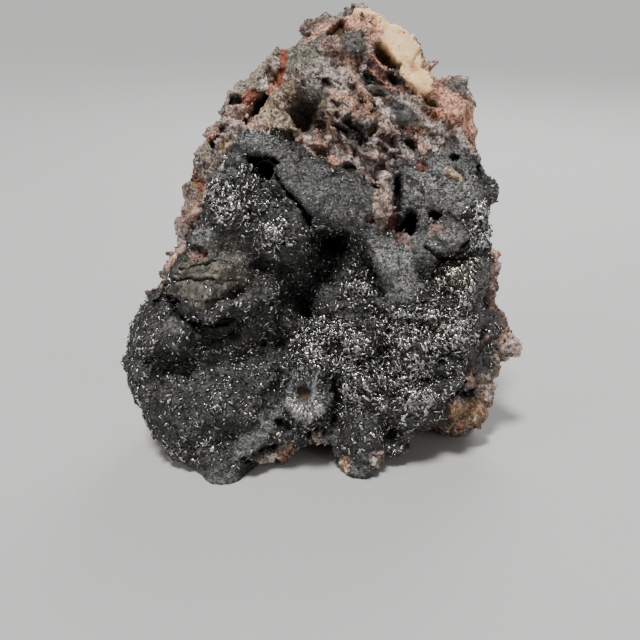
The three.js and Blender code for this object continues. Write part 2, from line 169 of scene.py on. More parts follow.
# Single fragments in the matrix, as areas with how far they stand out and their colour.
CLASTS = (
    (2.3, 50.6, 2.1, 1.5, 0, 0.7, "pink_rock"),
    (6.3, 50.8, 2.2, 2.0, 20, 0.5, "slate"),
    (-3.2, 48.9, 2.8, 2.5, 0, 0.7, "green_rock"),
    (6.8, 55.6, 2.6, 1.6, -25, 0.3, "salmon"),
    (11.4, 51.0, 2.0, 1.0, -10, 0.9, "salmon"),
    (13.7, 55.8, 1.3, 0.9, -40, 0.4, "brown_rock"),
    (24.2, 46.4, 3.8, 2.2, -36, 1.8, "pink_rock"),
    (25.4, 42.9, 2.1, 1.7, -20, 0.4, "slate"),
    (26.0, 38.5, 3.6, 2.4, -15, 0.2, "salmon"),
    (-7.5, 36.6, 3.6, 1.8, -15, 0.8, "beige"),
    (-9.2, 40.4, 1.6, 1.9, -40, 0.5, "beige"),
    (-0.2, 40.8, 2.4, 1.5, -50, 0.5, "green_rock"),
    (16.4, 34.6, 0.9, 0.9, 0, 0.4, "salmon"),
    (11.8, 41.9, 2.6, 1.0, -25, 0.4, "slate"),
    (12.4, 39.2, 2.3, 0.8, -25, -0.4, "maroon"),
    (15.0, 36.9, 2.8, 1.8, -30, 0.4, "slate"),
    (-13.3, 41.6, 1.2, 1.8, -30, 0.0, "rust"),
    (-19.4, 32.4, 1.0, 0.7, 0, 0.3, "salmon"),
    (11.3, 20.4, 2.1, 4.8, 8, 0.4, "wall_rock"),
    (14.0, 17.2, 1.5, 3.9, -20, -1.6, "maroon"),
    (20.8, 16.2, 1.6, 0.8, 25, 0.1, "brown_rock"),
    (24.4, 26.4, 2.2, 0.9, -25, 0.3, "beige"),
    (18.2, 27.8, 1.3, 1.1, -30, -0.8, "maroon"),
    (27.5, -11.7, 1.8, 1.1, 0, 0.7, "brown_rock"),
    (29.6, -7.4, 2.2, 2.4, 0, 0.3, "slate"),
    (27.8, -15.6, 1.4, 0.9, 0, 0.5, "slate"),
    (25.7, -17.2, 3.4, 2.2, -5, 0.6, "ochre"),
    (21.8, -19.2, 2.9, 1.7, -20, -0.6, "dark_brown"),
    (13.0, -22.4, 2.4, 2.6, -20, 0.0, "dark_brown"),
    (-9.4, -25.6, 2.0, 1.1, 20, 0.5, "pale_rock"),
)

# Washes of colour over the matrix, as areas with their colour.
WASHES = (
    (-22.3, 12.0, 3.0, 1.8, -8, "brown_rock"),
    (31.0, -3.0, 4.0, 12.0, 0, "brown_rock"),
    (29.4, 3.4, 2.6, 2.2, 0, "dark_brown"),
    (29.6, -3.4, 1.4, 1.9, 10, "ochre"),
    (31.4, -8.6, 3.2, 4.0, 0, "green_rock"),
    (28.6, -14.4, 2.4, 1.6, 0, "dark_brown"),
    (-26.0, 20.0, 2.6, 11.0, 24, "brown_rock"),
    (22.0, 42.0, 5.5, 4.0, -45, "salmon"),
    (27.0, 37.5, 4.5, 3.0, -30, "salmon"),
    (9.4, 53.0, 3.0, 2.4, -35, "salmon"),
    (-4.5, 53.0, 3.5, 1.8, 30, "brown_rock"),
    (0.6, 56.0, 4.4, 2.6, 10, "brown_rock"),
    (6.4, 58.0, 3.0, 1.6, 0, "salmon"),
    (5.2, 47.4, 3.0, 1.2, -30, "salmon"),
    (12.2, 43.2, 4.0, 1.2, -45, "salmon"),
    (-7.4, 42.0, 2.4, 4.6, -30, "beige"),
    (7.0, 40.5, 1.4, 3.4, 10, "salmon"),
    (1.0, 45.5, 5.0, 3.5, -40, "pale_rock"),
    (16.0, 39.0, 3.0, 2.0, -30, "pale_rock"),
)

# Narrow stains and veins, as (half width, colour, points).
STAINS = (
    (0.7, "rust", ((-6.8, 51.9), (-6.9, 48.1), (-7.9, 45.1), (-9.0, 42.6))),
    (0.6, "salmon", ((-8.6, 44.6), (-10.6, 40.4), (-12.4, 38.0))),
    (0.9, "salmon", ((-3.0, 52.3), (-0.4, 54.3), (2.1, 54.8))),
    (0.6, "pale_rock", ((21.6, 50.4), (25.4, 46.6), (28.0, 44.4))),
    (0.6, "pale_rock", ((8.0, 46.6), (9.6, 41.0), (13.0, 36.4))),
    (0.5, "salmon", ((18.6, 41.6), (22.0, 38.6), (26.4, 35.6))),
)

# Holes as (x, z, half width, half height, turn, depth, lining). The near-black lining is painted
# shade; the olive and brown linings are the rock's own colour.
HOLES = (
    (-10.2, 28.2, 2.6, 0.8, -4, 6.0, "hollow_shade"),
    (-9.2, 27.2, 1.1, 1.1, -20, 5.0, "hollow_shade"),
    (16.6, 17.7, 1.3, 2.1, -8, 5.5, "hollow_shade"),
    (21.1, 19.2, 1.2, 1.0, -10, 4.0, "hollow_shade"),
    (-3.2, 38.2, 2.4, 3.1, -20, 3.2, "olive_lining"),
    (2.2, 27.7, 1.0, 0.8, 10, 1.6, "brown_lining"),
    (5.8, 27.9, 1.4, 0.9, -20, 2.2, "hollow_shade"),
    (0.4, 30.4, 1.5, 0.7, -10, 1.4, "brown_lining"),
    (10.1, 24.0, 0.6, 0.8, 10, 1.8, "hollow_shade"),
    (9.0, 44.4, 2.0, 0.9, -40, 2.4, "hollow_shade"),
    (5.6, 42.8, 1.6, 0.8, -50, 2.2, "hollow_shade"),
    (13.6, 44.8, 1.6, 0.7, -45, 2.0, "hollow_shade"),
    (1.0, 44.0, 1.0, 0.7, -30, 1.8, "hollow_shade"),
    (20.4, 39.8, 2.0, 0.6, -30, 1.6, "brown_lining"),
    (16.8, 32.4, 1.4, 0.8, -30, 1.8, "hollow_shade"),
    (-5.6, 33.6, 1.1, 1.0, 0, 1.8, "olive_lining"),
    (12.2, 48.2, 2.7, 1.0, -44, 2.6, "brown_lining"),
    (3.4, 53.8, 1.7, 1.9, 0, 2.4, "brown_lining"),
    (9.4, 34.4, 0.9, 1.3, -30, 1.6, "brown_lining"),
    (-16.0, 41.2, 1.3, 0.9, 0, 2.2, "hollow_shade"),
    (24.6, 29.6, 1.0, 0.8, 0, 1.8, "hollow_shade"),
    (-2.8, -12.8, 1.3, 1.6, 20, 1.8, "brown_lining"),
    (-6.6, -18.9, 1.6, 0.9, -20, 2.6, "hollow_shade"),
    (-9.3, -23.4, 1.5, 0.8, 15, 2.4, "hollow_shade"),
    (-13.5, -25.3, 1.1, 0.7, 10, 2.0, "hollow_shade"),
    (-0.9, -20.6, 1.8, 1.0, 0, 2.8, "hollow_shade"),
    (26.8, -13.2, 2.0, 0.6, 5, 2.4, "hollow_shade"),
)

# Open cracks and the softer creases between lobes, as (depth, half width, points).
CRACKS = (
    (1.2, 0.22, ((-24.9, 9.0), (-22.8, 9.6), (-20.0, 9.9), (-18.9, 10.5))),
    (1.9, 0.36, ((-18.9, 10.5), (-17.0, 10.8), (-15.4, 10.7))),
    (1.3, 0.24, ((-26.0, 7.2), (-23.9, 7.4), (-21.7, 7.1), (-18.6, 7.2))),
    (0.9, 0.2, ((-16.4, 7.2), (-14.3, 7.0))),
    (3.0, 0.5, ((-27.4, 3.8), (-25.3, 1.0), (-23.2, -0.4), (-19.3, -0.8), (-16.1, -0.4))),
    (1.4, 0.4, ((-28.0, 6.0), (-28.8, 3.8), (-30.2, 2.4))),
    (1.5, 0.26, ((-19.6, 3.1), (-17.6, 3.7), (-15.2, 4.5), (-12.5, 5.9))),
    (3.4, 0.8, ((-10.2, 41.7), (-12.4, 39.0), (-14.1, 37.0))),
    (1.6, 0.35, ((-14.1, 37.0), (-16.4, 34.4), (-19.2, 32.0))),
    (2.4, 0.6, ((-19.2, 32.0), (-20.4, 30.0), (-21.6, 27.6))),
    (2.4, 0.4, ((2.4, 35.4), (4.7, 34.4))),
    (2.4, 0.4, ((4.7, 36.0), (8.1, 32.6))),
    (1.8, 0.25, ((-8.4, 25.8), (-7.0, 24.0), (-5.4, 22.2))),
    (2.8, 0.42, ((-5.4, 22.2), (-3.3, 19.7), (-1.5, 16.6))),
    (3.2, 0.65, ((14.2, 26.0), (14.1, 23.0), (14.4, 20.4))),
    (1.8, 0.35, ((18.8, 13.0), (20.4, 11.6), (22.6, 11.2), (25.0, 12.4), (26.6, 14.2))),
    (1.8, 0.4, ((28.9, 28.3), (29.1, 25.8))),
    (2.2, 0.5, ((26.9, -6.9), (26.4, -9.1), (25.8, -11.3), (24.6, -13.1))),
)
CREASES = (
    (1.8, 2.2, ((-24.2, 11.4), (-18.6, 12.6), (-13.1, 10.4), (-6.2, 8.5))),
    (2.0, 2.2, ((-19.1, 2.7), (-16.2, 4.2), (-13.7, 5.5), (-11.2, 8.0))),
    (2.2, 2.6, ((-19.5, -3.1), (-16.2, -2.0), (-11.5, -0.4), (-9.8, 1.8), (-6.0, 4.2))),
    (2.4, 2.4, ((-32.2, -7.8), (-28.0, -6.9), (-24.9, -6.9), (-22.9, -6.2), (-19.5, -4.0))),
    (2.0, 2.0, ((0.4, -0.2), (5.8, 1.1), (9.7, 1.4), (12.7, -0.2), (16.4, -0.9))),
    (1.6, 1.8, ((12.2, -1.8), (12.4, -4.1), (12.0, -6.4), (13.0, -10.0))),
    (1.6, 1.6, ((2.7, -2.1), (3.2, -5.3), (2.8, -8.0))),
    (1.8, 2.0, ((5.8, -12.9), (12.0, -12.9), (18.0, -11.0), (24.0, -10.0))),
    (1.8, 1.6, ((2.6, -10.3), (3.0, -15.6), (2.4, -19.5))),
    (1.6, 1.4, ((-7.4, -9.6), (-8.0, -13.4), (-6.4, -16.4))),
    (1.4, 1.4, ((12.6, 2.4), (18.4, 3.6), (22.4, 1.6))),
    (1.4, 1.4, ((19.8, -0.4), (20.2, -4.6), (19.6, -9.0))),
    (3.4, 4.6, ((3.0, 61.0), (7.5, 61.5), (11.0, 60.5))),
)

# The fragments of the breccia: their size, their seed, how much their heights differ against their
# size, and the depth of the joints between them.
FRAGMENTS = ((5.2, 82, 0.14, 0.4), (2.4, 72, 0.16, 0.15))

# The share of these fragments that each kind of rock has. The rest are like the matrix.
SCATTERED = (
    (0.12, "slate"),
    (0.08, "pale_rock"),
    (0.06, "green_rock"),
    (0.05, "salmon"),
    (0.08, "tan"),
    (0.06, "dark_brown"),
    (0.04, "ochre"),
)

# The open cells between thin walls in the matrix: their size, depth, share and seed.
OPEN_CELLS = ((3.0, 1.9, 0.42, 61), (1.7, 1.1, 0.45, 62))

# The lumps on the drusy lobes: their size and height against the usual bead's, and their seed.
BEADS = ((1.9, 1.3, 30), (1.0, 1.0, 31), (0.5, 0.4, 32))


# ---- Numbers in space ---------------------------------------------------------------------------

def to_face(points):
    """World millimetres to the frame of the face."""
    moved = points - np.array(FACE_MIDDLE)
    cos, sin = math.cos(LEAN), math.sin(LEAN)
    return np.stack((
        moved[:, 0],
        moved[:, 1] * cos - moved[:, 2] * sin,
        moved[:, 1] * sin + moved[:, 2] * cos,
    ), axis=1)


def face_direction(x, y, z):
    """A direction given in the frame of the face, as a unit vector in the world."""
    cos, sin = math.cos(LEAN), math.sin(LEAN)
    turned = np.array((x, y * cos + z * sin, z * cos - y * sin), dtype=float)
    return turned / np.linalg.norm(turned)


def smoothstep(low, high, value):
    """0 where the value is at low, 1 where it is at high, and smooth between them."""
    share = np.clip((value - low) / (high - low), 0.0, 1.0)
    return share * share * (3.0 - 2.0 * share)


# Large numbers that scramble a place and a seed, and the largest number that comes out.
PLACE_MIXERS = (73856093, 19349663, 83492791)
SEED_MIXER = 2654435761
SCRAMBLERS = (1274126177, 668265263)
LARGEST = 0x7FFFFFFF


def lattice_random(cell, seed):
    """A repeatable number from 0 to 1 for each row of three whole numbers."""
    x, y, z = (column * mixer for column, mixer in zip(cell.astype(np.int64).T, PLACE_MIXERS))
    bits = x ^ y ^ z ^ (seed * SEED_MIXER)
    bits = (bits ^ (bits >> 13)) * SCRAMBLERS[0] & LARGEST
    bits = (bits ^ (bits >> 15)) * SCRAMBLERS[1] & LARGEST
    return (bits ^ (bits >> 11)) / float(LARGEST)


def cloud(points, size, seed, octaves=1):
    """Smooth noise from -1 to 1 whose features are about size millimetres across."""
    total = np.zeros(len(points))
    weight, reach = 1.0, 0.0
    for octave in range(octaves):
        scaled = points / size * 2.0**octave + 17.3 * octave
        base = np.floor(scaled)
        part = scaled - base
        fade = part**3 * (part * (part * 6.0 - 15.0) + 10.0)
        value = np.zeros(len(points))
        for corner in range(8):
            step = np.array((corner & 1, corner >> 1 & 1, corner >> 2))
            share = np.prod(np.where(step, fade, 1.0 - fade), axis=1)
            value += share * lattice_random(base + step, seed + octave)
        total += weight * (value * 2.0 - 1.0)
        reach += weight
        weight *= 0.5
    return total / reach


def cells(points, size, seed):
    """The nearest of a lattice of scattered seeds: how far it is, how much farther the next one
    is, both in cell sizes, the way to it in millimetres, and its own lattice place."""
    scaled = points / size
    base = np.floor(scaled)
    first = np.full(len(points), 9.0)
    second = np.full(len(points), 9.0)
    way = np.zeros_like(points)
    place = np.zeros_like(points)
    for step in np.ndindex(3, 3, 3):
        cell = base + np.array(step) - 1
        jitter = np.stack([lattice_random(cell, seed + 11 * axis) for axis in range(3)], axis=1)
        offset = scaled - (cell + jitter)
        distance = np.linalg.norm(offset, axis=1)
        nearer = distance < first
        second = np.where(nearer, first, np.minimum(second, distance))
        first = np.where(nearer, distance, first)
        way[nearer] = offset[nearer] * size
        place[nearer] = cell[nearer]
    return first, second - first, way, place


def facets(points, size, steepness, seed, step=0.22):
    """Flat chips of broken rock, each tilted its own way and some a step higher than others, in
    millimetres of height."""
    first, _, way, place = cells(points, size, seed)
    tilt = np.stack([lattice_random(place, seed + 51 + axis) for axis in range(3)], axis=1) - 0.5
    level = lattice_random(place, seed + 71) - 0.5
    return np.sum(way * tilt, axis=1) * steepness + level * size * step - first * size * 0.06


def fabric(face, stretch=1.6, turn=FABRIC_TURN):
    """Places on the face, squeezed along the way that the rock's grain runs."""
    along = face[:, 0] * math.cos(turn) + face[:, 2] * math.sin(turn)
    across = face[:, 2] * math.cos(turn) - face[:, 0] * math.sin(turn)
    return np.stack((along / stretch, face[:, 1], across), axis=1)


def boxwork(face):
    """The open cells between thin walls in the matrix: their relief, and 1 inside them, where they
    are darkened with painted shade.
    """
    relief = np.zeros(len(face))
    shaded_pits = np.zeros(len(face))
    bent = fabric(face) + 0.8 * cloud(face, 2.4, 60)[:, None]
    for size, depth, share, seed in OPEN_CELLS:
        _, gap, _, place = cells(bent, size, seed)
        pit = smoothstep(0.08, 0.3, gap) * (lattice_random(place, seed + 9) < share)
        relief -= depth * pit
        shaded_pits = np.maximum(shaded_pits, pit)
    return relief, shaded_pits


def ellipse(face, area, power=2):
    """How far each point is from the middle of an area of the face: 1 on its outline, which is an
    ellipse, or nearer to a rectangle where the power is higher."""
    x, z, width, height, turn = area[:5]
    cos, sin = math.cos(math.radians(turn)), math.sin(math.radians(turn))
    across = ((face[:, 0] - x) * cos + (face[:, 2] - z) * sin) / width
    along = ((face[:, 2] - z) * cos - (face[:, 0] - x) * sin) / height
    return (np.abs(across) ** power + np.abs(along) ** power) ** (1.0 / power)


def area_mask(face, areas, soft, ragged, seed):
    """1 inside any of the areas of the face, 0 outside, with a soft and ragged edge."""
    nearest = np.full(len(face), 1e3)
    for area in areas:
        nearest = np.minimum(nearest, ellipse(face, area))
    nearest += ragged * cloud(face, 2.6, seed, 3)
    return 1.0 - smoothstep(1.0 - soft, 1.0 + soft, nearest)


def spots(face, areas, soft, seed, power=2):
    """What each row of a table says after its area, with the area's own mask. The masks of a table
    share one ragged edge."""
    ragged = 0.5 * cloud(face, 2.2, seed, 3)
    for area in areas:
        reach = ellipse(face, area, power) + ragged
        yield area[5:], 1.0 - smoothstep(1.0 - soft, 1.0 + soft, reach)


def line_distance(face, points):
    """How far each point of the face is from an open line of points on it."""
    nearest = np.full(len(face), 1e3)
    flat = face[:, [0, 2]]
    for start, end in zip(np.array(points[:-1]), np.array(points[1:])):
        run = end - start
        share = np.clip((flat - start) @ run / (run @ run), 0.0, 1.0)
        nearest = np.minimum(nearest, np.linalg.norm(flat - start - share[:, None] * run, axis=1))
    return nearest


# ---- What the surface is made of ----------------------------------------------------------------

def single_fragments(face):
    """How far each single fragment stands out and its colour, with its mask."""
    return spots(face, CLASTS, soft=0.1, seed=44, power=4)


def bright_druse(face):
    """1 where the blades of the druse are large and bright, and 0 elsewhere."""
    return area_mask(face, BRIGHT_DRUSE, 0.5, 0.3, 14)


def surface_zones(face):
    """The share of each kind of surface at every point, as a dictionary of arrays."""
    ragged = CRUST_EDGE * (cloud(face, 4.0, 3, 3) + 0.5 * cloud(face, 1.5, 4, 2))
    top = np.interp(face[:, 0], CRUST_TOP_X, CRUST_TOP_Z) + ragged
    below_top = smoothstep(-0.35, 0.35, top - face[:, 2])
    near_front = smoothstep(-0.6, 0.6, CRUST_DEPTH + ragged - face[:, 1])
    depth, height = BARE_UNDERSIDE
    underside = smoothstep(-0.6, 0.6, face[:, 1] - depth)
    underside *= smoothstep(0.0, 1.0, height - face[:, 2])
    crust = below_top * near_front * (1.0 - underside)
    front = smoothstep(*FRONT_FADE, face[:, 1])
    x, z, radius = RECESS
    recess = front * smoothstep(0.5, 1.5, radius - np.hypot(face[:, 0] - x, face[:, 2] - z))
    crust = np.maximum(crust, recess * below_top)
    crust *= 1.0 - area_mask(face, BARE_AREAS, 0.16, 0.45, 5) * front

    rosette = area_mask(face, (ROSETTE,), 0.12, 0.1, 6) * crust
    banded = area_mask(face, BANDED_AREAS, 0.3, 0.35, 7) * crust
    dull = area_mask(face, DULL_AREAS, 0.24, 0.6, 8) * crust * (1.0 - recess * 0.9)
    dull = np.maximum(dull, rosette)
    matrix = 1.0 - crust
    cream = area_mask(face, CREAM_AREAS, 0.1, 0.36, 9) * matrix * front
    halo = area_mask(face, CREAM_AREAS, 0.5, 0.5, 19) * matrix * front
    rust = area_mask(face, RUST_AREAS, 0.5, 0.6, 10)
    rust = np.maximum(rust * front, 0.7 * smoothstep(0.25, 0.5, cloud(face, 6.0, 21, 3)))
    tan = area_mask(face, TAN_AREAS, 0.3, 0.4, 11) * matrix * front
    pit_relief, shaded_pits = boxwork(face)
    patches = smoothstep(0.15, 0.45, cloud(face, 9.0, 22, 2))
    porous = np.maximum(area_mask(face, BOXWORK_AREAS, 0.5, 0.5, 12) * front, 0.8 * patches)
    porous *= matrix * (1.0 - cream) * (1.0 - 0.7 * tan)
    first, _, _, place = cells(face, 9.0, 23)  # a few deep cavities, on the back alone
    cavity = smoothstep(0.3, 0.17, first + 0.12 * cloud(face, 1.5, 24, 2))
    cavity *= (lattice_random(place, 25) < 0.5) * matrix * (1.0 - front)
    return {
        "crust": crust,
        "druse": crust * (1.0 - dull) * (1.0 - 0.75 * banded),
        "dull": dull,
        "banded": banded,
        "rosette": rosette,
        "matrix": matrix,
        "cream": cream,
        "halo": halo,
        "tan": tan,
        "rust": rust * np.maximum(matrix, 0.25 * banded) * (1.0 - cream) * (1.0 - 0.6 * tan),
        "shaded_pits": np.maximum(shaded_pits * porous, cavity),
        "pit_relief": pit_relief * porous - 2.0 * cavity,
        "light": area_mask(face, LIGHT_AREAS, 0.5, 0.3, 13) * front,
        "bright": bright_druse(face) * front,
        "front": front,
    }


def bead_tops_and_gap_shade(face):
    """1 on the tops of the larger lumps of the druse and 0 in the gaps between them. The druse's
    colour is painted lighter on the tops and darker in the gaps with it: painted highlight and
    shade.
    """
    bead_size = bpy.context.scene.specimen_sizes.bead_size / MM
    height = np.zeros(len(face))
    for size, share, seed in BEADS[:2]:
        first, _, _, _ = cells(face, bead_size * size, seed)
        height += share * first
    return smoothstep(1.6, 0.7, height)


def druse_relief(face):
    """The rounded lumps of the drusy lobes, and the small chips on them."""
    sizes = bpy.context.scene.specimen_sizes
    relief = np.zeros(len(face))
    for size, height, seed in BEADS:
        first, _, _, _ = cells(face, sizes.bead_size / MM * size, seed)
        relief += sizes.bead_height / MM * height * (0.55 - first)
    return relief + facets(face, 1.0, 0.55, 33)


def dull_relief(face):
    """The dull crust, broken along its leaves."""
    leafy = fabric(face, 3.0, LEAF_TURN)
    relief = 0.5 * cloud(face, 4.4, 34, 2) + 0.3 * cloud(leafy, 1.0, 35, 2)
    return relief + facets(leafy, 2.6, 0.5, 37) + facets(face, 1.1, 0.5, 36)


def banded_relief(face):
    """The thin layers of the banded lobe, and the chips broken out of them."""
    layers = face[:, 2] + 0.7 * cloud(face, 5.0, 38, 2)
    relief = 0.16 * np.sin(layers * 2.0 * math.pi / BAND_PITCH) + 0.35 * cloud(face, 2.0, 39, 2)
    return relief + 1.3 * facets(face, 1.0, 0.6, 40)


def matrix_relief(face, zones):
    """The broken matrix: its fragments and the joints between them, its pits, and the fragments
    that are placed one by one."""
    grained = fabric(face)
    crumbled = smoothstep(-0.35, 0.25, cloud(face, 7.0, 46, 2))
    relief = facets(grained, 8.0, 0.5, 41, 0.12)
    for size, seed, step, joint in FRAGMENTS:
        _, gap, _, _ = cells(grained, size, seed)
        chips = facets(grained, size, 0.5, seed, step)
        relief += chips - joint * (1.0 - smoothstep(0.0, 0.12, gap))
    relief += (0.15 + 0.85 * crumbled) * facets(grained, 1.5, 0.6, 43, 0.2)
    relief = 0.3 + relief * (1.0 - 0.5 * zones["tan"]) + zones["pit_relief"]
    for (raised, _), share in single_fragments(face):
        share = share * zones["front"]
        relief = relief * (1.0 - 0.65 * share) + raised * share
    return relief


def cream_relief(face):
    """The smooth cream fragment, with grooves along its grain."""
    relief = 1.0 + 0.5 * cloud(fabric(face, 4.0), 1.4, 45, 3)
    relief += facets(fabric(face), 2.4, 0.6, 47, 0.2)
    return relief + 0.25 * cloud(fabric(face, 7.0), 0.7, 49)


def crease_depth(face):
    """How deep the soft creases between the lobes are, in millimetres."""
    bent = 0.5 * cloud(face, 2.4, 48, 2)
    sunk = np.zeros(len(face))
    for depth, width, points in CREASES:
        share = np.clip(1.0 - (line_distance(face, points) + bent) / width, 0.0, 1.0)
        sunk = np.maximum(sunk, depth * share * share)
    return sunk


def surface_relief(face, zones):
    """How far each point of the surface is raised, in millimetres."""
    druse = druse_relief(face)
    sharp = 1.0 - zones["dull"]
    relief = zones["crust"] * sharp * (1.0 - zones["banded"]) * druse
    relief += zones["dull"] * dull_relief(face)
    relief += zones["rosette"] * rosette_relief(face)
    relief += zones["banded"] * sharp * (banded_relief(face) + 0.35 * druse)
    relief += (zones["matrix"] * (1.0 - zones["cream"]) * matrix_relief(face, zones)
               + zones["cream"] * cream_relief(face))
    return relief - crease_depth(face) * zones["front"]


def rosette_reach(face):
    """How far each point is from the rosette's middle: 1 on its outline."""
    return ellipse(face, ROSETTE) + 0.06 * cloud(face, 1.6, 49)


def rosette_relief(face):
    """The rosette's raised ring of radiating fibres, with a groove round it."""
    reach = rosette_reach(face)
    middle, width = ROSETTE_RING
    ring = np.clip(1.0 - np.abs(reach - middle) / width, 0.0, 1.0)
    turn = np.arctan2(face[:, 2] - ROSETTE[1], face[:, 0] - ROSETTE[0])
    rays = np.sin(turn * ROSETTE_RAYS + 2.5 * cloud(face, 1.2, 50, 2))
    return 1.1 * ring - 0.9 * smoothstep(0.9, 1.05, reach) + 0.2 * ring * rays


def crack_lines(face):
    """How deep the cracks are at every point, in millimetres, and 1 in them and at their edges,
    where they are painted near black: painted shade.
    """
    bent = face + 0.4 * np.stack([cloud(face, 1.5, 52 + axis, 2) for axis in range(3)], axis=1)
    sunk, crack_shade = np.zeros(len(face)), np.zeros(len(face))
    for depth, width, points in CRACKS:
        distance = line_distance(bent, points) / width
        sunk = np.maximum(sunk, depth * (1.0 - smoothstep(0.4, 1.4, distance)))
        crack_shade = np.maximum(crack_shade, 1.0 - smoothstep(0.5, 1.5, distance))
    return sunk, crack_shade


def surface_hollows(face, zones):
    """How far each point is sunk straight into the face by the holes and cracks, in millimetres."""
    sunk = np.zeros(len(face))
    for (depth, _), share in spots(face, HOLES, 0.28, 51):
        sunk = np.maximum(sunk, depth * share)
    return np.maximum(sunk, crack_lines(face)[0]) * zones["front"]


def mixed(share, first, second):
    """Colours blended from first to second, each a row of colours or one colour for all."""
    share = np.asarray(share)[:, None]
    return np.asarray(first) * (1.0 - share) + np.asarray(second) * share


def rock_colours(face, zones, hollows, colours):
    """The colour of the bare rock at every point, before its finest grain, with painted shade in
    its pits, cracks and holes.
    """
    grained = fabric(face)
    tone = smoothstep(-0.4, 0.35, 0.6 * cloud(grained, 2.0, 71, 3) + 0.7 * cloud(face, 9.0, 80, 2))
    rock = mixed(tone, colours.dark_matrix, colours.matrix)
    browner = smoothstep(0.0, 0.3, cloud(face, 11.0, 81, 3))
    rock = mixed(0.6 * browner, rock, colours.brown_rock)
    for size, seed, _, _ in FRAGMENTS:
        _, gap, _, place = cells(grained, size, seed)
        pick = lattice_random(place, seed + 1)
        inside = smoothstep(0.03, 0.1, gap)
        start = 0.0
        for share, name in SCATTERED:
            chosen = (pick >= start) & (pick < start + share)
            rock = mixed(0.75 * inside * chosen, rock, getattr(colours, name))
            start += share
    rock = mixed(0.5 * smoothstep(0.1, 0.3, cloud(face, 1.0, 74, 2)), rock, colours.pale_rock)
    rock = mixed(0.8 * zones["tan"], rock, colours.tan)
    stain = zones["rust"] * smoothstep(-0.15, 0.25, cloud(face, 1.6, 75, 3))
    iron = mixed(smoothstep(-0.2, 0.2, cloud(face, 1.1, 76, 2)), colours.rust, colours.ochre)
    rock = mixed(stain, rock, iron)
    for (name,), share in spots(face, WASHES, 0.5, 79):
        rock = mixed(0.65 * share * zones["front"], rock, getattr(colours, name))
    for (_, name), share in single_fragments(face):
        rock = mixed(0.85 * share * zones["front"], rock, getattr(colours, name))
    uneven = 0.5 * cloud(face, 1.0, 77, 2)
    for width, name, points in STAINS:
        line = 1.0 - smoothstep(0.6, 1.2, line_distance(face, points) / width + uneven)
        rock = mixed(line * zones["front"], rock, getattr(colours, name))
    veins = smoothstep(0.0, 0.4, cloud(fabric(face, 6.0), 0.9, 78, 3))
    rock = mixed(0.75 * zones["halo"], rock, colours.salmon)
    rock = mixed(zones["cream"], rock, mixed(0.6 * veins, colours.cream, colours.cream_shade))
    # Painted shade: the open pits and the back's cavities are darkened.
    rock = mixed(0.7 * zones["shaded_pits"], rock, np.asarray(colours.dark_matrix) * 0.4)
    # Under the crust the rock's colour is the near-black hollow colour, which shows only in the
    # crust's holes: painted shade.
    rock = mixed(zones["crust"], rock, colours.hollow_shade)
    # Each hole takes its lining's colour: the near-black one is painted shade, the olive and brown
    # ones are the rock's own colour.
    for (_, lining), share in spots(face, HOLES, 0.35, 51):
        rock = mixed(share * zones["front"], rock, getattr(colours, lining))
    # Painted shade: the cracks are painted near black inside.
    return mixed(crack_lines(face)[1] * smoothstep(0.3, 1.0, hollows), rock, colours.hollow_shade)


# ---- Meshes -------------------------------------------------------------------------------------

def read_points(mesh):
    """The points and normals of a mesh, in millimetres."""
    points = np.empty(len(mesh.vertices) * 3, dtype=np.float32)
    normals = np.empty(len(mesh.vertices) * 3, dtype=np.float32)
    mesh.vertices.foreach_get("co", points)
    mesh.vertex_normals.foreach_get("vector", normals)
    return points.reshape(-1, 3).astype(float) / MM, normals.reshape(-1, 3).astype(float)


def read_squares(mesh):
    """The four corners of every face of a mesh that has only four-cornered faces."""
    corners = np.empty(len(mesh.loops), dtype=np.int32)
    mesh.loops.foreach_get("vertex_index", corners)
    return corners.reshape(-1, 4)


def write_colours(mesh, name, colours):
    """Store a colour, or three masks, for every point of a mesh."""
    values = np.concatenate((colours, np.ones((len(colours), 1))), axis=1)
    layer = mesh.color_attributes.new(name, "FLOAT_COLOR", "POINT")
    layer.data.foreach_set("color", values.astype(np.float32).ravel())


def stored(mesh, name):
    """The colour or the three masks stored for every point of a mesh."""
    values = np.empty(len(mesh.vertices) * 4, dtype=np.float32)
    mesh.color_attributes[name].data.foreach_get("color", values)
    return values.reshape(-1, 4)[:, :3].astype(float).T


def squares_mesh(name, points, faces):
    """A new mesh from points in millimetres and four-cornered faces."""
    mesh = bpy.data.meshes.new(name)
    mesh.vertices.add(len(points))
    mesh.vertices.foreach_set("co", (points * MM).astype(np.float32).ravel())
    mesh.loops.add(faces.size)
    mesh.loops.foreach_set("vertex_index", faces.astype(np.int32).ravel())
    mesh.polygons.add(len(faces))
    mesh.polygons.foreach_set("loop_start", np.arange(0, faces.size, 4, dtype=np.int32))
    mesh.update(calc_edges=True)
    return mesh


def in_scene(name, data):
    """A new object of the scene, which shows a mesh, a light or a camera."""
    made = bpy.data.objects.new(name, data)
    bpy.context.scene.collection.objects.link(made)
    return made


def piece_from_mesh(name, mesh, material):
    """A piece of the stone. It rides on the one body that there is."""
    mesh.materials.append(material)
    piece = in_scene(name, mesh)
    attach(piece, "root")
    return piece


def piece_of_blocks(name, points, faces, tint, material):
    """A piece made of many small blocks, each with a tint of its own."""
    mesh = squares_mesh(name, points, faces)
    write_colours(mesh, "tint", np.repeat(tint, len(BLOCK_CORNERS), axis=0))
    return piece_from_mesh(name, mesh, material)


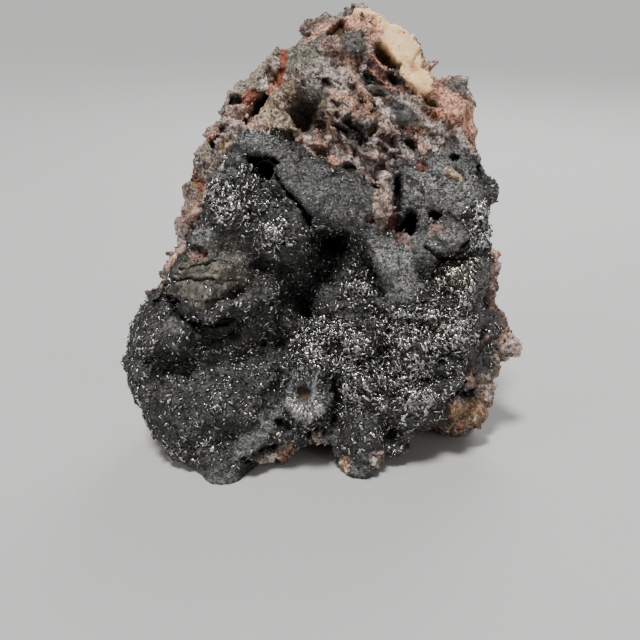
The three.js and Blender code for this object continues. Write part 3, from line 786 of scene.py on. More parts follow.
def scatter(mesh, density, count, seed):
    """Random places on a mesh: count points and normals, more of them where density is high."""
    points, normals = read_points(mesh)
    mesh.calc_loop_triangles()
    corners = np.empty(len(mesh.loop_triangles) * 3, dtype=np.int32)
    mesh.loop_triangles.foreach_get("vertices", corners)
    corners = corners.reshape(-1, 3)
    a, b, c = (points[corners[:, i]] for i in range(3))
    area = 0.5 * np.linalg.norm(np.cross(b - a, c - a), axis=1)
    weight = area * density[corners].mean(axis=1)
    random = np.random.default_rng(seed)
    chosen = random.choice(len(corners), size=count, p=weight / weight.sum())
    u, v = random.random(count), random.random(count)
    fold = u + v > 1.0
    u[fold], v[fold] = 1.0 - u[fold], 1.0 - v[fold]
    shares = np.stack((1.0 - u - v, u, v), axis=1)[:, :, None]
    placed = (points[corners[chosen]] * shares).sum(axis=1)
    facing = (normals[corners[chosen]] * shares).sum(axis=1)
    return placed, unit(facing)


def unit(vectors):
    """Each vector made one long."""
    return vectors / np.maximum(np.linalg.norm(vectors, axis=1, keepdims=True), 1e-9)


def turned_axes(facing, tilt, random, level=0.0):
    """Three axes for each direction: one tilted from it by tilt radians, and two across it. The
    second one is nearer to level where level is higher."""
    any_way = random.normal(size=facing.shape)
    across = unit(np.cross(facing, any_way))
    plate = unit(facing * np.cos(tilt)[:, None] + across * np.sin(tilt)[:, None])
    spin = random.normal(size=facing.shape) + level * face_direction(0, 0, 1)
    length = unit(np.cross(plate, spin))
    return plate, length, np.cross(plate, length)


BLOCK_CORNERS = np.array([(x, y, z) for z in (-1, 1) for y in (-1, 1) for x in (-1, 1)], float)
BLOCK_FACES = np.array([
    [0, 2, 3, 1], [4, 5, 7, 6], [0, 1, 5, 4], [2, 6, 7, 3], [0, 4, 6, 2], [1, 3, 7, 5],
])


def tapered(count, taper):
    """The corners of count blocks, thinned by taper at the end of their length."""
    corners = np.repeat(BLOCK_CORNERS[None], count, axis=0)
    corners[:, :, 2] *= np.where(corners[:, :, 1] > 0, taper, 1.0)
    return corners


def blocks(centres, axes, half_sizes, corners):
    """Points and faces of many small blocks. corners holds each one's own eight corners."""
    points = centres[:, None, :] + sum(
        corners[:, :, i, None] * (half_sizes[:, i, None] * axes[i])[:, None, :] for i in range(3))
    faces = BLOCK_FACES[None] + len(BLOCK_CORNERS) * np.arange(len(centres))[:, None, None]
    return points.reshape(-1, 3), faces.reshape(-1, 4)


# ---- Materials ----------------------------------------------------------------------------------

# The two inputs and the output of a mix node that mixes colours, and of one that mixes numbers.
COLOUR_SOCKETS = (6, 7, 2)
NUMBER_SOCKETS = (2, 3, 0)
STREAK_TURN = math.radians(16)  # from level, of the streaks on the dull crust


class Shading:
    """Short names for building a material's nodes. Colours go through mix and multiply, and
    numbers through blend."""

    def __init__(self, name):
        self.material = bpy.data.materials.new(name)
        self.material.use_nodes = True
        self.tree = self.material.node_tree
        self.shader = self.tree.nodes["Principled BSDF"]
        self.place = self.tree.nodes.new("ShaderNodeTexCoord").outputs["Object"]

    def node(self, kind, **settings):
        made = self.tree.nodes.new(kind)
        for key, value in settings.items():
            setattr(made, key, value)
        return made

    def link(self, source, target):
        """Lead a socket to another one, or set a number or a colour on it."""
        if isinstance(source, bpy.types.NodeSocket):
            self.tree.links.new(source, target)
        elif isinstance(source, (int, float)):
            target.default_value = source
        else:
            target.default_value = (*source, 1.0)

    def noise(self, size, detail=2.0, roughness=0.5, place=None):
        """Smooth noise whose features are about size millimetres across."""
        made = self.node("ShaderNodeTexNoise")
        self.link(place or self.place, made.inputs["Vector"])
        made.inputs["Scale"].default_value = 1.0 / (size * MM)
        made.inputs["Detail"].default_value = detail
        made.inputs["Roughness"].default_value = roughness
        return made.outputs["Fac"]

    def streaks(self, size, length):
        """Fine noise drawn out sideways, length times as long as it is thick."""
        stretched = self.node("ShaderNodeMapping")
        self.link(self.place, stretched.inputs["Vector"])
        stretched.inputs["Rotation"].default_value = (0.0, STREAK_TURN, 0.0)
        stretched.inputs["Scale"].default_value = (1.0 / length, 1.0, 1.0)
        return self.noise(size, 4.0, 0.7, stretched.outputs["Vector"])

    def grains(self, size, output="Distance"):
        """Cells size millimetres across: how far each place is from its cell's middle, or, as the
        Color output, a random colour for each cell."""
        made = self.node("ShaderNodeTexVoronoi")
        self.link(self.place, made.inputs["Vector"])
        made.inputs["Scale"].default_value = 1.0 / (size * MM)
        return made.outputs[output]

    def mask(self, attribute):
        """The three masks that the mesh stores under one name."""
        made = self.node("ShaderNodeSeparateColor")
        source = self.node("ShaderNodeAttribute", attribute_name=attribute)
        self.link(source.outputs["Color"], made.inputs["Color"])
        return made.outputs["Red"], made.outputs["Green"], made.outputs["Blue"]

    def step(self, value, low, high):
        """0 where the value is at low, 1 where it is at high, and smooth between them."""
        made = self.node("ShaderNodeMapRange", interpolation_type="SMOOTHSTEP")
        self.link(value, made.inputs["Value"])
        made.inputs["From Min"].default_value = low
        made.inputs["From Max"].default_value = high
        return made.outputs["Result"]

    def math(self, operation, first, second):
        made = self.node("ShaderNodeMath", operation=operation)
        self.link(first, made.inputs[0])
        self.link(second, made.inputs[1])
        return made.outputs[0]

    def mix_node(self, share, first, second, sockets, **settings):
        made = self.node("ShaderNodeMix", **settings)
        self.link(share, made.inputs["Factor"])
        self.link(first, made.inputs[sockets[0]])
        self.link(second, made.inputs[sockets[1]])
        return made.outputs[sockets[2]]

    def mix(self, share, first, second):
        return self.mix_node(share, first, second, COLOUR_SOCKETS, data_type="RGBA")

    def multiply(self, first, second):
        return self.mix_node(1.0, first, second, COLOUR_SOCKETS, data_type="RGBA",
                             blend_type="MULTIPLY")

    def blend(self, share, first, second):
        return self.mix_node(share, first, second, NUMBER_SOCKETS, data_type="FLOAT")

    def bump(self, height, distance, strength=1.0, under=None):
        made = self.node("ShaderNodeBump")
        self.link(height, made.inputs["Height"])
        made.inputs["Distance"].default_value = distance * MM
        made.inputs["Strength"].default_value = strength
        if under:
            self.link(under, made.inputs["Normal"])
        return made.outputs["Normal"]


def rock_material(colours):
    """The stone under its crystals: every kind of surface, blended by the masks on the mesh."""
    s = Shading("broken_stone")
    druse, dull, banded = s.mask("crust_mask")
    rosette, light, hollow_shade = s.mask("detail_mask")
    smooth_rock, _, _ = s.mask("finish_mask")
    tops_and_gap_shade, _, _ = s.mask("lump_mask")
    rock = s.node("ShaderNodeAttribute", attribute_name="rock_tint").outputs["Color"]
    fine, tiny = s.noise(0.7, 4.0, 0.65), s.noise(0.3, 3.0, 0.6)

    cell = s.node("ShaderNodeSeparateColor")
    s.link(s.grains(0.45, "Color"), cell.inputs["Color"])
    grit = s.blend(s.step(cell.outputs["Red"], 0.1, 0.95), 0.5, 1.5)
    grit = s.math("MULTIPLY", grit, s.blend(s.step(s.noise(0.9, 5.0, 0.7), 0.37, 0.47), 0.28, 1.0))
    grain = s.mix(s.step(tiny, 0.3, 0.7), (0.62, 0.6, 0.58), (1.3, 1.3, 1.3))
    gritty = s.multiply(grain, grit)
    colour = s.multiply(rock, s.mix(smooth_rock, gritty, (1.1, 1.1, 1.1)))
    leaf = s.streaks(0.34, 1.7)
    grey = s.mix(s.step(leaf, 0.4, 0.58), colours.dull_dark, colours.dull_light)
    flake = s.blend(s.step(cell.outputs["Green"], 0.0, 1.0), 0.6, 1.6)
    bright_leaf = s.math("MULTIPLY", light, s.step(s.streaks(0.24, 1.5), 0.42, 0.56))
    grey = s.mix(bright_leaf, grey, colours.light_crust)
    grey = s.mix(s.math("MULTIPLY", rosette, 0.5), s.multiply(grey, flake), colours.rosette)
    film = s.step(s.noise(1.6, 4.0, 0.65), 0.36, 0.6)
    brown = s.multiply(s.mix(film, colours.banded_grey, colours.banded_brown), flake)
    # Painted highlight and shade: the druse is lighter on the tops of its lumps and darker in the
    # gaps between them, speckled by fine noise.
    lit = s.math("MULTIPLY", s.step(tiny, 0.35, 0.7), s.blend(tops_and_gap_shade, 0.15, 1.0))
    crystal = s.multiply(s.mix(lit, colours.druse_dark, colours.druse_light), flake)
    colour = s.mix(dull, colour, grey)
    colour = s.mix(druse, colour, crystal)
    colour = s.mix(banded, colour, brown)
    # In the crust's holes the stored rock colour shows: near-black painted shade, or a lining's own
    # colour.
    colour = s.mix(hollow_shade, colour, rock)
    s.link(colour, s.shader.inputs["Base Color"])

    metal = s.math("MAXIMUM", s.math("MULTIPLY", druse, 0.5), s.math("MULTIPLY", dull, 0.2))
    s.link(s.math("MULTIPLY", metal, s.math("SUBTRACT", 1.0, hollow_shade)), s.shader.inputs["Metallic"])
    speck = s.step(s.grains(0.5, "Distance"), 0.1, 0.5)
    polish = s.blend(speck, 0.34, 0.6)
    rough = s.blend(s.math("MAXIMUM", druse, dull), 0.85, polish)
    s.link(s.blend(smooth_rock, rough, 0.5), s.shader.inputs["Roughness"])
    rough_grain = s.bump(s.grains(0.55), 0.16, 0.75)
    leafy = s.bump(leaf, 0.2, 0.8, rough_grain)
    s.link(s.bump(fine, 0.16, 0.7, leafy), s.shader.inputs["Normal"])
    return s.material


def blade_material(name, colours, roughness, metallic=1.0):
    """Metallic crystal plates, each a little lighter or darker than the next."""
    s = Shading(name)
    shade, golden, _ = s.mask("tint")
    steel = s.mix(shade, colours.blade_dark, colours.blade_light)
    s.link(s.mix(golden, steel, colours.blade_golden), s.shader.inputs["Base Color"])
    s.shader.inputs["Metallic"].default_value = metallic
    uneven = s.step(s.noise(0.5, 2.0), 0.3, 0.7)
    s.link(s.blend(uneven, *roughness), s.shader.inputs["Roughness"])
    return s.material


def grain_material():
    """Small broken grains of the matrix, coloured one by one."""
    s = Shading("matrix_grains")
    tint = s.node("ShaderNodeAttribute", attribute_name="tint").outputs["Color"]
    mottle = s.mix(s.noise(0.35, 3.0), (0.6, 0.58, 0.56), (1.15, 1.15, 1.15))
    s.link(s.multiply(tint, mottle), s.shader.inputs["Base Color"])
    s.link(s.blend(s.step(s.noise(0.7, 2.0), 0.35, 0.65), 0.16, 0.85), s.shader.inputs["Roughness"])
    s.link(s.bump(s.noise(0.25, 3.0), 0.06, 0.6), s.shader.inputs["Normal"])
    return s.material


def floor_material(colours):
    """A plain, slightly cloudy floor."""
    s = Shading("studio_floor")
    darker = tuple(0.94 * value for value in colours.floor)
    s.link(s.mix(s.noise(60.0, 2.0), colours.floor, darker), s.shader.inputs["Base Color"])
    s.shader.inputs["Roughness"].default_value = 0.75
    return s.material


# ---- Settings -----------------------------------------------------------------------------------

def length_property(name, description, millimetres):
    """A length, given in millimetres and kept in metres."""
    return FloatProperty(name=name, description=description, default=millimetres * MM,
                         min=0.0, precision=5, unit="LENGTH")


def colour_property(name, description, red, green, blue):
    """A colour, given as linear light."""
    return FloatVectorProperty(name=name, description=description, default=(red, green, blue),
                               min=0.0, max=1.0, size=3, subtype="COLOR")


def count_property(name, description, count):
    """How many small blocks a piece has, at most 16,000: 192,000 triangles at twelve to a block.
    The most is what keeps it within 200,000 triangles.
    """
    return IntProperty(name=name, description=description, default=count, min=10, max=16000)


def power_property(name, description, watts):
    """The power of a lamp, in watts."""
    return FloatProperty(name=name, description=description, default=watts, min=0.0, unit="POWER")


class SpecimenSizes(bpy.types.PropertyGroup):
    """Sizes and numbers of the specimen's details."""

    mesh_step: length_property("Mesh step", "Spacing of the rock's surface mesh", 0.33)
    bead_size: length_property("Bead size", "Width of the small beads on the drusy lobes", 3.2)
    bead_height: length_property("Bead height", "How far the small beads stand out", 1.1)
    blade_length: length_property("Blade length", "Length of a usual hematite blade", 1.0)
    blade_width: length_property("Blade width", "Width of a usual hematite blade", 0.36)
    blade_thickness: length_property("Blade thickness", "Thickness of a hematite blade", 0.08)
    inner_count: count_property("Inner blades", "Blades in the dark inner coat", 13000)
    outer_count: count_property("Outer blades", "Blades in the bright outer coat", 5600)
    scale_count: count_property("Scales", "Small flat scales on the dull crust", 6500)
    grain_size: length_property("Grain size", "Width of a usual angular grain of the matrix", 0.42)
    grain_count: count_property("Grains", "Grains on the matrix", 14000)
    needle_length: length_property("Needle length", "Length of the rosette's needles", 1.4)
    needle_count: count_property("Needles", "Needles around the rosette", 420)


class SpecimenColours(bpy.types.PropertyGroup):
    """Colours of the specimen and the floor."""

    # Druse, light is painted on the tops of the lumps and Druse, dark in the gaps between them:
    # painted highlight and shade over the crust's own grey.
    druse_dark: colour_property("Druse, dark", "Crust between the blades", 0.032, 0.032, 0.03)
    druse_light: colour_property("Druse, light", "Tops of the lumps", 0.125, 0.1235, 0.114)
    dull_dark: colour_property("Dull crust, dark", "Darker broken hematite", 0.036, 0.036, 0.034)
    dull_light: colour_property("Dull crust, light", "Broken hematite", 0.135, 0.134, 0.126)
    light_crust: colour_property("Light crust", "Lightest patches of the crust", 0.3, 0.3, 0.29)
    rosette: colour_property("Rosette", "Fibrous cross-section", 0.34, 0.35, 0.36)
    banded_grey: colour_property("Banded grey", "Film on the banded lobe", 0.075, 0.075, 0.066)
    banded_brown: colour_property("Banded brown", "Film on the banded lobe", 0.15, 0.13, 0.1)
    matrix: colour_property("Matrix", "Pinkish grey matrix", 0.655, 0.46, 0.37)
    dark_matrix: colour_property("Matrix, dark", "Dark iron-rich matrix", 0.07, 0.062, 0.062)
    tan: colour_property("Tan rock", "Smooth greyish tan rock", 0.3, 0.25, 0.195)
    pale_rock: colour_property("Pale rock", "Thin pale walls", 0.62, 0.53, 0.49)
    beige: colour_property("Beige rock", "Beige fragments", 0.46, 0.35, 0.235)
    salmon: colour_property("Salmon rock", "Salmon fragments", 0.72, 0.38, 0.26)
    pink_rock: colour_property("Pink rock", "Pink fragments", 0.5, 0.32, 0.25)
    green_rock: colour_property("Green rock", "Greenish fragments", 0.19, 0.185, 0.14)
    slate: colour_property("Slate", "Dark slate fragments", 0.058, 0.062, 0.062)
    wall_rock: colour_property("Wall rock", "The wall beside the cleft", 0.48, 0.355, 0.29)
    brown_rock: colour_property("Brown rock", "Brownish pink fragments", 0.22, 0.135, 0.105)
    dark_brown: colour_property("Dark brown", "Dark brown matrix", 0.035, 0.024, 0.018)
    rust: colour_property("Rust", "Orange-red iron stain", 0.3, 0.085, 0.04)
    ochre: colour_property("Ochre", "Brown-orange iron stain", 0.22, 0.13, 0.058)
    maroon: colour_property("Maroon", "Dark red cavities", 0.15, 0.052, 0.038)
    cream: colour_property("Cream", "The cream fragment", 1.0, 0.7, 0.35)
    cream_shade: colour_property("Cream, shaded", "Veins in the cream fragment", 0.9, 0.43, 0.2)
    # Painted shade: the near-black colour put inside cracks and holes.
    hollow_shade: colour_property("Hollow", "Inside of cracks and holes", 0.006, 0.0055, 0.005)
    olive_lining: colour_property("Olive lining", "Inside of the olive hollow", 0.05, 0.044, 0.028)
    brown_lining: colour_property("Brown lining", "Inside of brown hollows", 0.085, 0.05, 0.022)
    blade_dark: colour_property("Blade, dark", "Darkest blades", 0.03, 0.03, 0.03)
    blade_light: colour_property("Blade, light", "Lightest blades", 0.9, 0.88, 0.835)
    blade_golden: colour_property("Blade, golden", "Blades with a golden film", 0.6, 0.54, 0.38)
    floor: colour_property("Floor", "Studio floor", 0.56, 0.56, 0.55)


class StageSettings(bpy.types.PropertyGroup):
    """The camera and the lights."""

    lens: FloatProperty(name="Lens", description="Focal length in millimetres",
                        default=54.0, min=10.0)
    camera_distance: length_property("Camera distance", "From the face to the camera", 175.0)
    key_strength: FloatProperty(name="Key light", description="Strength of the light from above",
                                default=3.7, min=0.0)
    key_width: FloatProperty(name="Key width", description="Apparent width of the soft light",
                             default=math.radians(11), min=0.0, subtype="ANGLE")
    side_power: power_property("Side light", "Power of the light at the left", 0.22)
    fill_power: power_property("Fill light", "Power of the light at the right", 0.22)
    back_power: power_property("Back light", "Power of the light behind the stone", 0.9)
    sky: FloatProperty(name="Surroundings", description="Brightness of the surroundings",
                       default=0.12, min=0.0)


# ---- Operators ----------------------------------------------------------------------------------

class SPECIMEN_OT_rock(bpy.types.Operator):
    """Build the stone's own surface from the frame's solid"""

    bl_idname = "specimen.rock"
    bl_label = "Rock"

    def execute(self, context):
        sizes, colours = context.scene.specimen_sizes, context.scene.specimen_colours
        points, squares = self.even_surface(context, sizes.mesh_step)
        whole = squares_mesh("whole_stone", points, squares)
        points, normals = read_points(whole)
        face = to_face(points)
        zones = surface_zones(face)
        hollows = surface_hollows(face, zones)
        points = self.shaped(points, normals, face, zones, hollows)
        whole.vertices.foreach_set("co", (points * MM).astype(np.float32).ravel())
        whole.update()
        points, normals = read_points(whole)
        bpy.data.meshes.remove(whole)

        # Painted shade: where this is 1, the crust shows the colour stored for its holes.
        hole_shade = smoothstep(0.5, 1.5, hollows) * zones["crust"]
        masks = {
            "crust_mask": (zones["druse"], zones["dull"], zones["banded"]),
            "detail_mask": (zones["rosette"], zones["light"], hole_shade),
            "finish_mask": (zones["cream"], zones["bright"], hollows),
            "lump_mask": 3 * (bead_tops_and_gap_shade(face),),
        }
        values = {name: np.stack(channels, axis=1) for name, channels in masks.items()}
        values["rock_tint"] = rock_colours(face, zones, hollows, colours)
        material = rock_material(colours)
        crusted = zones["crust"][squares].mean(axis=1) > CRUST_LEAST
        in_front = face[squares, 1].mean(axis=1) < MIDDLE_DEPTH
        for name, chosen in (
            ("hematite_crust", crusted),
            ("matrix_front", ~crusted & in_front),
            ("matrix_back", ~crusted & ~in_front),
        ):
            self.piece(name, points, normals, squares[chosen], values, material)
        return {"FINISHED"}

    def even_surface(self, context, step):
        """The solid's surface as even squares, with its facets softened."""
        rock = in_scene("even_surface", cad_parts[STONE_NODE].data.copy())
        remesh = rock.modifiers.new("Even mesh", "REMESH")
        remesh.mode = "VOXEL"
        remesh.voxel_size = step
        smooth = rock.modifiers.new("Soften facets", "SMOOTH")
        smooth.factor = 0.5
        smooth.iterations = 6
        smoothed = rock.evaluated_get(context.evaluated_depsgraph_get())
        mesh = bpy.data.meshes.new_from_object(smoothed)
        points, _ = read_points(mesh)
        squares = read_squares(mesh)
        bpy.data.objects.remove(rock)
        bpy.data.meshes.remove(mesh)
        return points, squares

    def shaped(self, points, normals, face, zones, hollows):
        """The surface raised along its normals and sunk straight into the face."""
        relief = surface_relief(face, zones) * (1.0 - 0.6 * smoothstep(0.3, 1.5, hollows))
        footing = smoothstep(0.05, 1.6, points[:, 2])
        facing_front = smoothstep(0.0, 0.5, normals @ -face_direction(0, 1, 0))
        shaped = points + normals * (relief * footing)[:, None]
        shaped += face_direction(0, 1, 0) * (hollows * footing * facing_front)[:, None]
        shaped[:, 2] = np.maximum(shaped[:, 2], 0.0)
        return shaped

    def piece(self, name, points, normals, squares, values, material):
        """One part of the surface, which meets the others with the whole surface's normals."""
        used, places = np.unique(squares, return_inverse=True)
        mesh = squares_mesh(name, points[used], places.reshape(-1, 4))
        for attribute, colours in values.items():
            write_colours(mesh, attribute, colours[used])
        mesh.polygons.foreach_set("use_smooth", np.ones(len(mesh.polygons), dtype=bool))
        mesh.normals_split_custom_set_from_vertices(normals[used].tolist())
        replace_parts(piece_from_mesh(name, mesh, material), STONE_NODE)


class Coat(NamedTuple):
    """One coat of crystal plates on the crust."""

    name: str
    size: float  # against the usual blade's
    enlarged: float  # how much more in the bright areas
    rise: tuple  # the lowest and highest places above the crust, in millimetres
    level: float  # how well the plates' length keeps level
    shades: tuple  # the darkest and the lightest, from the dark blade colour to the light one
    roughness: tuple
    metallic: float
    seed: int


INNER_COAT = Coat("blades_inner", 0.78, 0.2, (0.0, 0.1), 0.0, (0.03, 0.18), (0.34, 0.6), 1.0, 101)
OUTER_COAT = Coat("blades_outer", 0.95, 0.6, (0.08, 0.36), 0.0, (0.16, 1.0), (0.14, 0.34), 1.0, 202)
SCALES = Coat("crust_scales", 0.62, 0.0, (0.0, 0.04), 1.4, (0.04, 0.42), (0.25, 0.55), 0.6, 606)

LYING_SHARE = 0.82  # of the plates: these lie on the crust and the others stand on it
LYING_TILT = (0.0, 0.45)  # radians
STANDING_TILT = (0.45, 1.3)
LONGEST_PLATE = 2.2  # in millimetres, like the next two
FLOOR_GAP = 0.1  # from the floor to the lowest small block
FEET_HEIGHT = (0.8, 2.0)  # where the blades start over the feet, and where they are whole
TAPER = (0.35, 1.0)  # the width of a plate's far end against its near end
STRAY_GOLDEN = 0.03  # the share of golden plates outside the golden areas


class SPECIMEN_OT_blades(bpy.types.Operator):
    """Grow the two coats of hematite blades on the drusy lobes and the scales on the dull crust"""

    bl_idname = "specimen.blades"
    bl_label = "Hematite blades"

    def execute(self, context):
        sizes, colours = context.scene.specimen_sizes, context.scene.specimen_colours
        mesh = bpy.data.objects["hematite_crust"].data
        points, _ = read_points(mesh)
        druse, dull, _ = stored(mesh, "crust_mask")
        _, light, _ = stored(mesh, "detail_mask")
        _, bright, hollows = stored(mesh, "finish_mask")
        open_crust = 1.0 - smoothstep(0.5, 1.6, hollows)
        open_crust *= smoothstep(*FEET_HEIGHT, points[:, 2])
        patchy = 0.4 + 0.6 * smoothstep(-0.5, 0.4, cloud(to_face(points), 3.0, 90, 2))
        tops_and_gap_shade, _, _ = stored(mesh, "lump_mask")
        inner = druse * (0.6 + 0.4 * bright) * (0.4 + 0.6 * tops_and_gap_shade) * open_crust
        outer = druse * (0.28 + bright) * patchy * (0.25 + 0.75 * tops_and_gap_shade) + 0.004 * dull
        outer *= open_crust
        flat = dull * (0.5 + 0.5 * light) * open_crust
        self.grow(mesh, inner, sizes.inner_count, INNER_COAT, colours)
        self.grow(mesh, outer, sizes.outer_count, OUTER_COAT, colours)
        self.grow(mesh, flat, sizes.scale_count, SCALES, colours)
        return {"FINISHED"}

    def grow(self, mesh, density, count, coat, colours):
        """One coat of plates: most lie almost flat and the others stand on their edges."""
        sizes = bpy.context.scene.specimen_sizes
        random = np.random.default_rng(coat.seed)
        placed, facing = scatter(mesh, density, count, coat.seed + 1)
        lying = random.random(count) < LYING_SHARE
        tilt = np.where(lying, random.uniform(*LYING_TILT, count),
                        random.uniform(*STANDING_TILT, count))
        axes = turned_axes(facing, tilt, random, coat.level)
        face = to_face(placed)
        scale = coat.size * (0.85 + coat.enlarged * bright_druse(face))
        scale *= np.exp(random.normal(0.0, 0.3, count))
        half = 0.5 * np.stack((
            np.full(count, sizes.blade_thickness / MM),
            sizes.blade_length / MM * scale,
            sizes.blade_width / MM * scale * random.uniform(0.6, 1.2, count),
        ), axis=1)
        half = np.minimum(half, 0.5 * LONGEST_PLATE)
        corners = tapered(count, random.uniform(*TAPER, count)[:, None])
        centres = placed + facing * random.uniform(*coat.rise, count)[:, None]
        points, faces = blocks(centres, axes, half, corners)
        points[:, 2] = np.maximum(points[:, 2], FLOOR_GAP)
        golden = 0.45 * area_mask(face, GOLDEN_AREAS, 0.4, 0.3, 16)
        golden = np.minimum(1.0, golden + (random.random(count) < STRAY_GOLDEN))
        golden *= random.random(count)
        darkest, lightest = coat.shades
        shade = darkest + (lightest - darkest) * random.random(count) ** 1.5
        tint = np.stack((shade, golden, np.zeros(count)), axis=1)
        material = blade_material(coat.name, colours, coat.roughness, coat.metallic)
        piece_of_blocks(coat.name, points, faces, tint, material)


NEEDLE_RISE = 0.05  # from the crust to the middle of a needle, in millimetres
NEEDLE_TAPER = 0.6  # the thickness of a needle's point against its root


class SPECIMEN_OT_rosette(bpy.types.Operator):
    """Set the rosette's radiating needles"""

    bl_idname = "specimen.rosette"
    bl_label = "Rosette needles"

    def execute(self, context):
        sizes, colours = context.scene.specimen_sizes, context.scene.specimen_colours
        mesh = bpy.data.objects["hematite_crust"].data
        points, normals = read_points(mesh)
        reach = rosette_reach(to_face(points))
        ring = smoothstep(0.36, 0.5, reach) * (1.0 - smoothstep(0.9, 1.0, reach))
        ring *= np.clip(normals @ -face_direction(0, 1, 0), 0.0, 1.0)
        random = np.random.default_rng(303)
        count = sizes.needle_count
        placed, facing = scatter(mesh, ring, count, 304)
        face = to_face(placed)
        outward = unit(np.stack((face[:, 0] - ROSETTE[0], face[:, 2] - ROSETTE[1]), axis=1))
        along = outward[:, :1] * face_direction(1, 0, 0) + outward[:, 1:] * face_direction(0, 0, 1)
        along = unit(along - facing * (along * facing).sum(axis=1, keepdims=True)
                     + facing * random.uniform(0.0, 0.3, (count, 1))
                     + random.normal(0, 0.1, (count, 3)))
        side = unit(np.cross(facing, along) + random.normal(0, 0.3, (count, 3)))
        axes = (side, along, np.cross(side, along))
        half = 0.5 * np.stack((
            random.uniform(0.14, 0.5, count),
            sizes.needle_length / MM * random.uniform(0.5, 1.2, count),
            random.uniform(0.12, 0.3, count),
        ), axis=1)
        points, faces = blocks(placed + facing * NEEDLE_RISE, axes, half,
                               tapered(count, NEEDLE_TAPER))
        # Painted sheen: the needles are given lighter colours towards the bottom of the rosette.
        lower = smoothstep(2.0, -2.5, face[:, 2] - ROSETTE[1])
        shade = (0.12 + 0.6 * lower) * random.uniform(0.3, 1.3, count)
        tint = np.stack((shade, np.zeros(count), np.zeros(count)), axis=1)
        material = blade_material("rosette_needles", colours, (0.3, 0.45))
        piece_of_blocks("rosette_needles", points, faces, tint, material)
        return {"FINISHED"}


# The two coats of grains: what they lie on, their name, their share of all the grains, their seed.
GRAIN_COATS = (("matrix_front", "grains_front", 0.6, 404), ("matrix_back", "grains_back", 0.4, 505))
GRAIN_FEET_HEIGHT = (1.0, 2.2)  # where the grains start over the feet, and where they are whole
GRAIN_WIDTHS = (0.2, 1.8)  # the least and the most, in millimetres
STRAY_GRAINS = 0.12  # the share of grains that don't have the colour of the rock under them
DARK_STRAYS = 0.6  # the share of those that are dark. The others are pale.


class SPECIMEN_OT_grains(bpy.types.Operator):
    """Scatter angular grains over the broken matrix"""

    bl_idname = "specimen.grains"
    bl_label = "Matrix grains"

    def execute(self, context):
        sizes, colours = context.scene.specimen_sizes, context.scene.specimen_colours
        material = grain_material()
        for stone, name, share, seed in GRAIN_COATS:
            self.strew(bpy.data.objects[stone].data, name, round(sizes.grain_count * share),
                       sizes.grain_size / MM, colours, material, seed)
        return {"FINISHED"}

    def strew(self, mesh, name, count, usual_size, colours, material, seed):
        """One coat of grains, most of them in the colour of the rock that they lie on."""
        points, _ = read_points(mesh)
        cream, _, hollows = stored(mesh, "finish_mask")
        density = (1.0 - 0.97 * cream) * (1.0 - 0.8 * smoothstep(0.5, 1.5, hollows))
        density *= smoothstep(*GRAIN_FEET_HEIGHT, points[:, 2])
        random = np.random.default_rng(seed)
        placed, facing = scatter(mesh, density, count, seed + 1)
        axes = turned_axes(facing, random.uniform(0.0, 1.5, count), random)
        size = usual_size * np.exp(random.normal(0.0, 0.4, count))
        half = 0.5 * np.clip(size, *GRAIN_WIDTHS)[:, None] * random.uniform(0.3, 1.2, (count, 3))
        corners = BLOCK_CORNERS[None] * random.uniform(0.3, 1.15, (count, 8, 3))
        sunk = half.min(axis=1, keepdims=True) * 0.1
        points, faces = blocks(placed - facing * sunk, axes, half, corners)
        points[:, 2] = np.maximum(points[:, 2], FLOOR_GAP)
        face = to_face(placed)
        zones = surface_zones(face)
        tint = rock_colours(face, zones, surface_hollows(face, zones), colours)
        stray = random.random(count) < STRAY_GRAINS
        dark = random.random(stray.sum())[:, None] < DARK_STRAYS
        tint[stray] = np.where(dark, colours.dark_matrix, colours.pale_rock)
        tint = np.clip(tint * random.uniform(0.5, 1.5, (count, 1)), 0.0, 1.0)
        piece_of_blocks(name, points, faces, tint, material)


# The soft lights: their name, their place from the middle of the face and their width in metres,
# and the setting that holds their power.
SOFT_LIGHTS = (
    ("side_light", (-0.24, -0.16, 0.15), 0.12, "side_power"),
    ("fill_light", (0.22, -0.26, 0.14), 0.2, "fill_power"),
    ("back_light", (0.1, 0.3, 0.26), 0.2, "back_power"),
)
SKY_COLOUR = (1.0, 0.99, 0.97, 1.0)
FLOOR_REACH = 1.5  # metres from the middle of the floor to its edges
SENSOR_WIDTH = 36.0  # millimetres


def looking_along(direction):
    """The turn of a light that shines along a direction."""
    return direction.to_track_quat("-Z", "Y").to_euler()


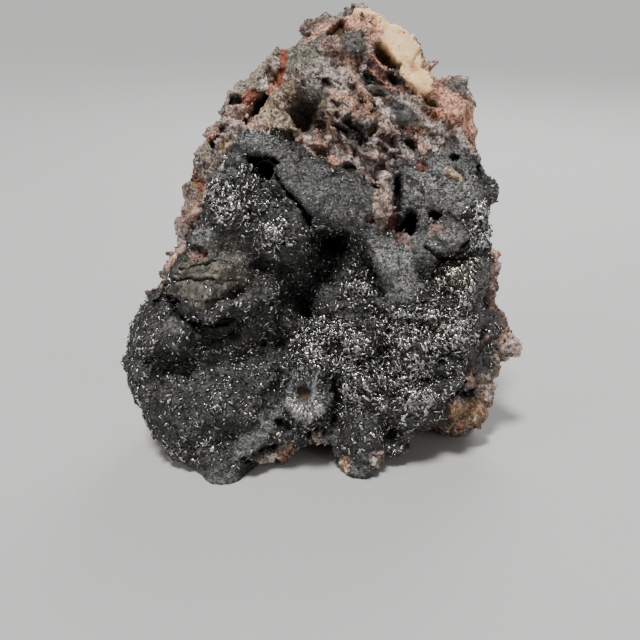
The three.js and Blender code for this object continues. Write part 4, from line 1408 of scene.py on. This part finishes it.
class SPECIMEN_OT_stage(bpy.types.Operator):
    """Set the floor, the lights and the camera"""

    bl_idname = "specimen.stage"
    bl_label = "Stage"

    def execute(self, context):
        settings, colours = context.scene.stage_settings, context.scene.specimen_colours
        self.floor(colours)
        middle = Vector(FACE_MIDDLE) * MM
        self.camera(context, settings, middle)
        self.key_light(settings)
        for name, place, width, power in SOFT_LIGHTS:
            self.soft_light(name, Vector(place), middle, width, getattr(settings, power))
        world = bpy.data.worlds.new("studio")
        world.use_nodes = True
        background = world.node_tree.nodes["Background"]
        background.inputs["Color"].default_value = SKY_COLOUR
        background.inputs["Strength"].default_value = settings.sky
        context.scene.world = world
        return {"FINISHED"}

    def floor(self, colours):
        mesh = bpy.data.meshes.new("studio_floor")
        corners = [(x * FLOOR_REACH, y * FLOOR_REACH, 0)
                   for x, y in ((-1, -1), (1, -1), (1, 1), (-1, 1))]
        mesh.from_pydata(corners, [], [(0, 1, 2, 3)])
        mesh.materials.append(floor_material(colours))
        in_scene("studio_floor", mesh)

    def camera(self, context, settings, middle):
        """The camera looks straight at the face of the stone."""
        camera = in_scene("camera", bpy.data.cameras.new("camera"))
        camera.data.lens = settings.lens
        camera.data.sensor_width = SENSOR_WIDTH
        camera.data.clip_start = 0.01
        camera.location = middle + Vector(face_direction(0, -1, 0)) * settings.camera_distance
        camera.rotation_euler = (math.pi / 2 - LEAN, 0.0, 0.0)
        context.scene.camera = camera

    def key_light(self, settings):
        light = in_scene("key_light", bpy.data.lights.new("key_light", "SUN"))
        light.data.energy = settings.key_strength
        light.data.angle = settings.key_width
        light.rotation_euler = looking_along(-Vector(KEY_DIRECTION))

    def soft_light(self, name, place, target, width, power):
        light = in_scene(name, bpy.data.lights.new(name, "AREA"))
        light.data.shape = "SQUARE"
        light.data.size = width
        light.data.energy = power
        light.location = target + place
        light.rotation_euler = looking_along(-place)


# ---- Panel and registration ---------------------------------------------------------------------

PIECE_OPERATORS = (
    SPECIMEN_OT_rock,
    SPECIMEN_OT_blades,
    SPECIMEN_OT_rosette,
    SPECIMEN_OT_grains,
    SPECIMEN_OT_stage,
)


class SPECIMEN_PT_panel(bpy.types.Panel):
    """Lists the settings and the steps in the order in which they are run"""

    bl_idname = "SPECIMEN_PT_panel"
    bl_label = "Hematite specimen"
    bl_space_type = "VIEW_3D"
    bl_region_type = "UI"
    bl_category = "Specimen"

    def draw(self, context):
        scene = context.scene
        for group in (scene.specimen_sizes, scene.specimen_colours, scene.stage_settings):
            box = self.layout.box()
            for name in group.__annotations__:
                box.prop(group, name)
        for operator in PIECE_OPERATORS:
            self.layout.operator(operator.bl_idname)


CLASSES = (SpecimenSizes, SpecimenColours, StageSettings, *PIECE_OPERATORS, SPECIMEN_PT_panel)


def register():
    for cls in CLASSES:
        bpy.utils.register_class(cls)
    bpy.types.Scene.specimen_sizes = PointerProperty(type=SpecimenSizes)
    bpy.types.Scene.specimen_colours = PointerProperty(type=SpecimenColours)
    bpy.types.Scene.stage_settings = PointerProperty(type=StageSettings)


def unregister():
    del bpy.types.Scene.stage_settings
    del bpy.types.Scene.specimen_colours
    del bpy.types.Scene.specimen_sizes
    for cls in reversed(CLASSES):
        bpy.utils.unregister_class(cls)


def main():
    register()
    bpy.ops.specimen.rock()
    bpy.ops.specimen.blades()
    bpy.ops.specimen.rosette()
    bpy.ops.specimen.grains()
    bpy.ops.specimen.stage()


if __name__ == "__main__":
    main()
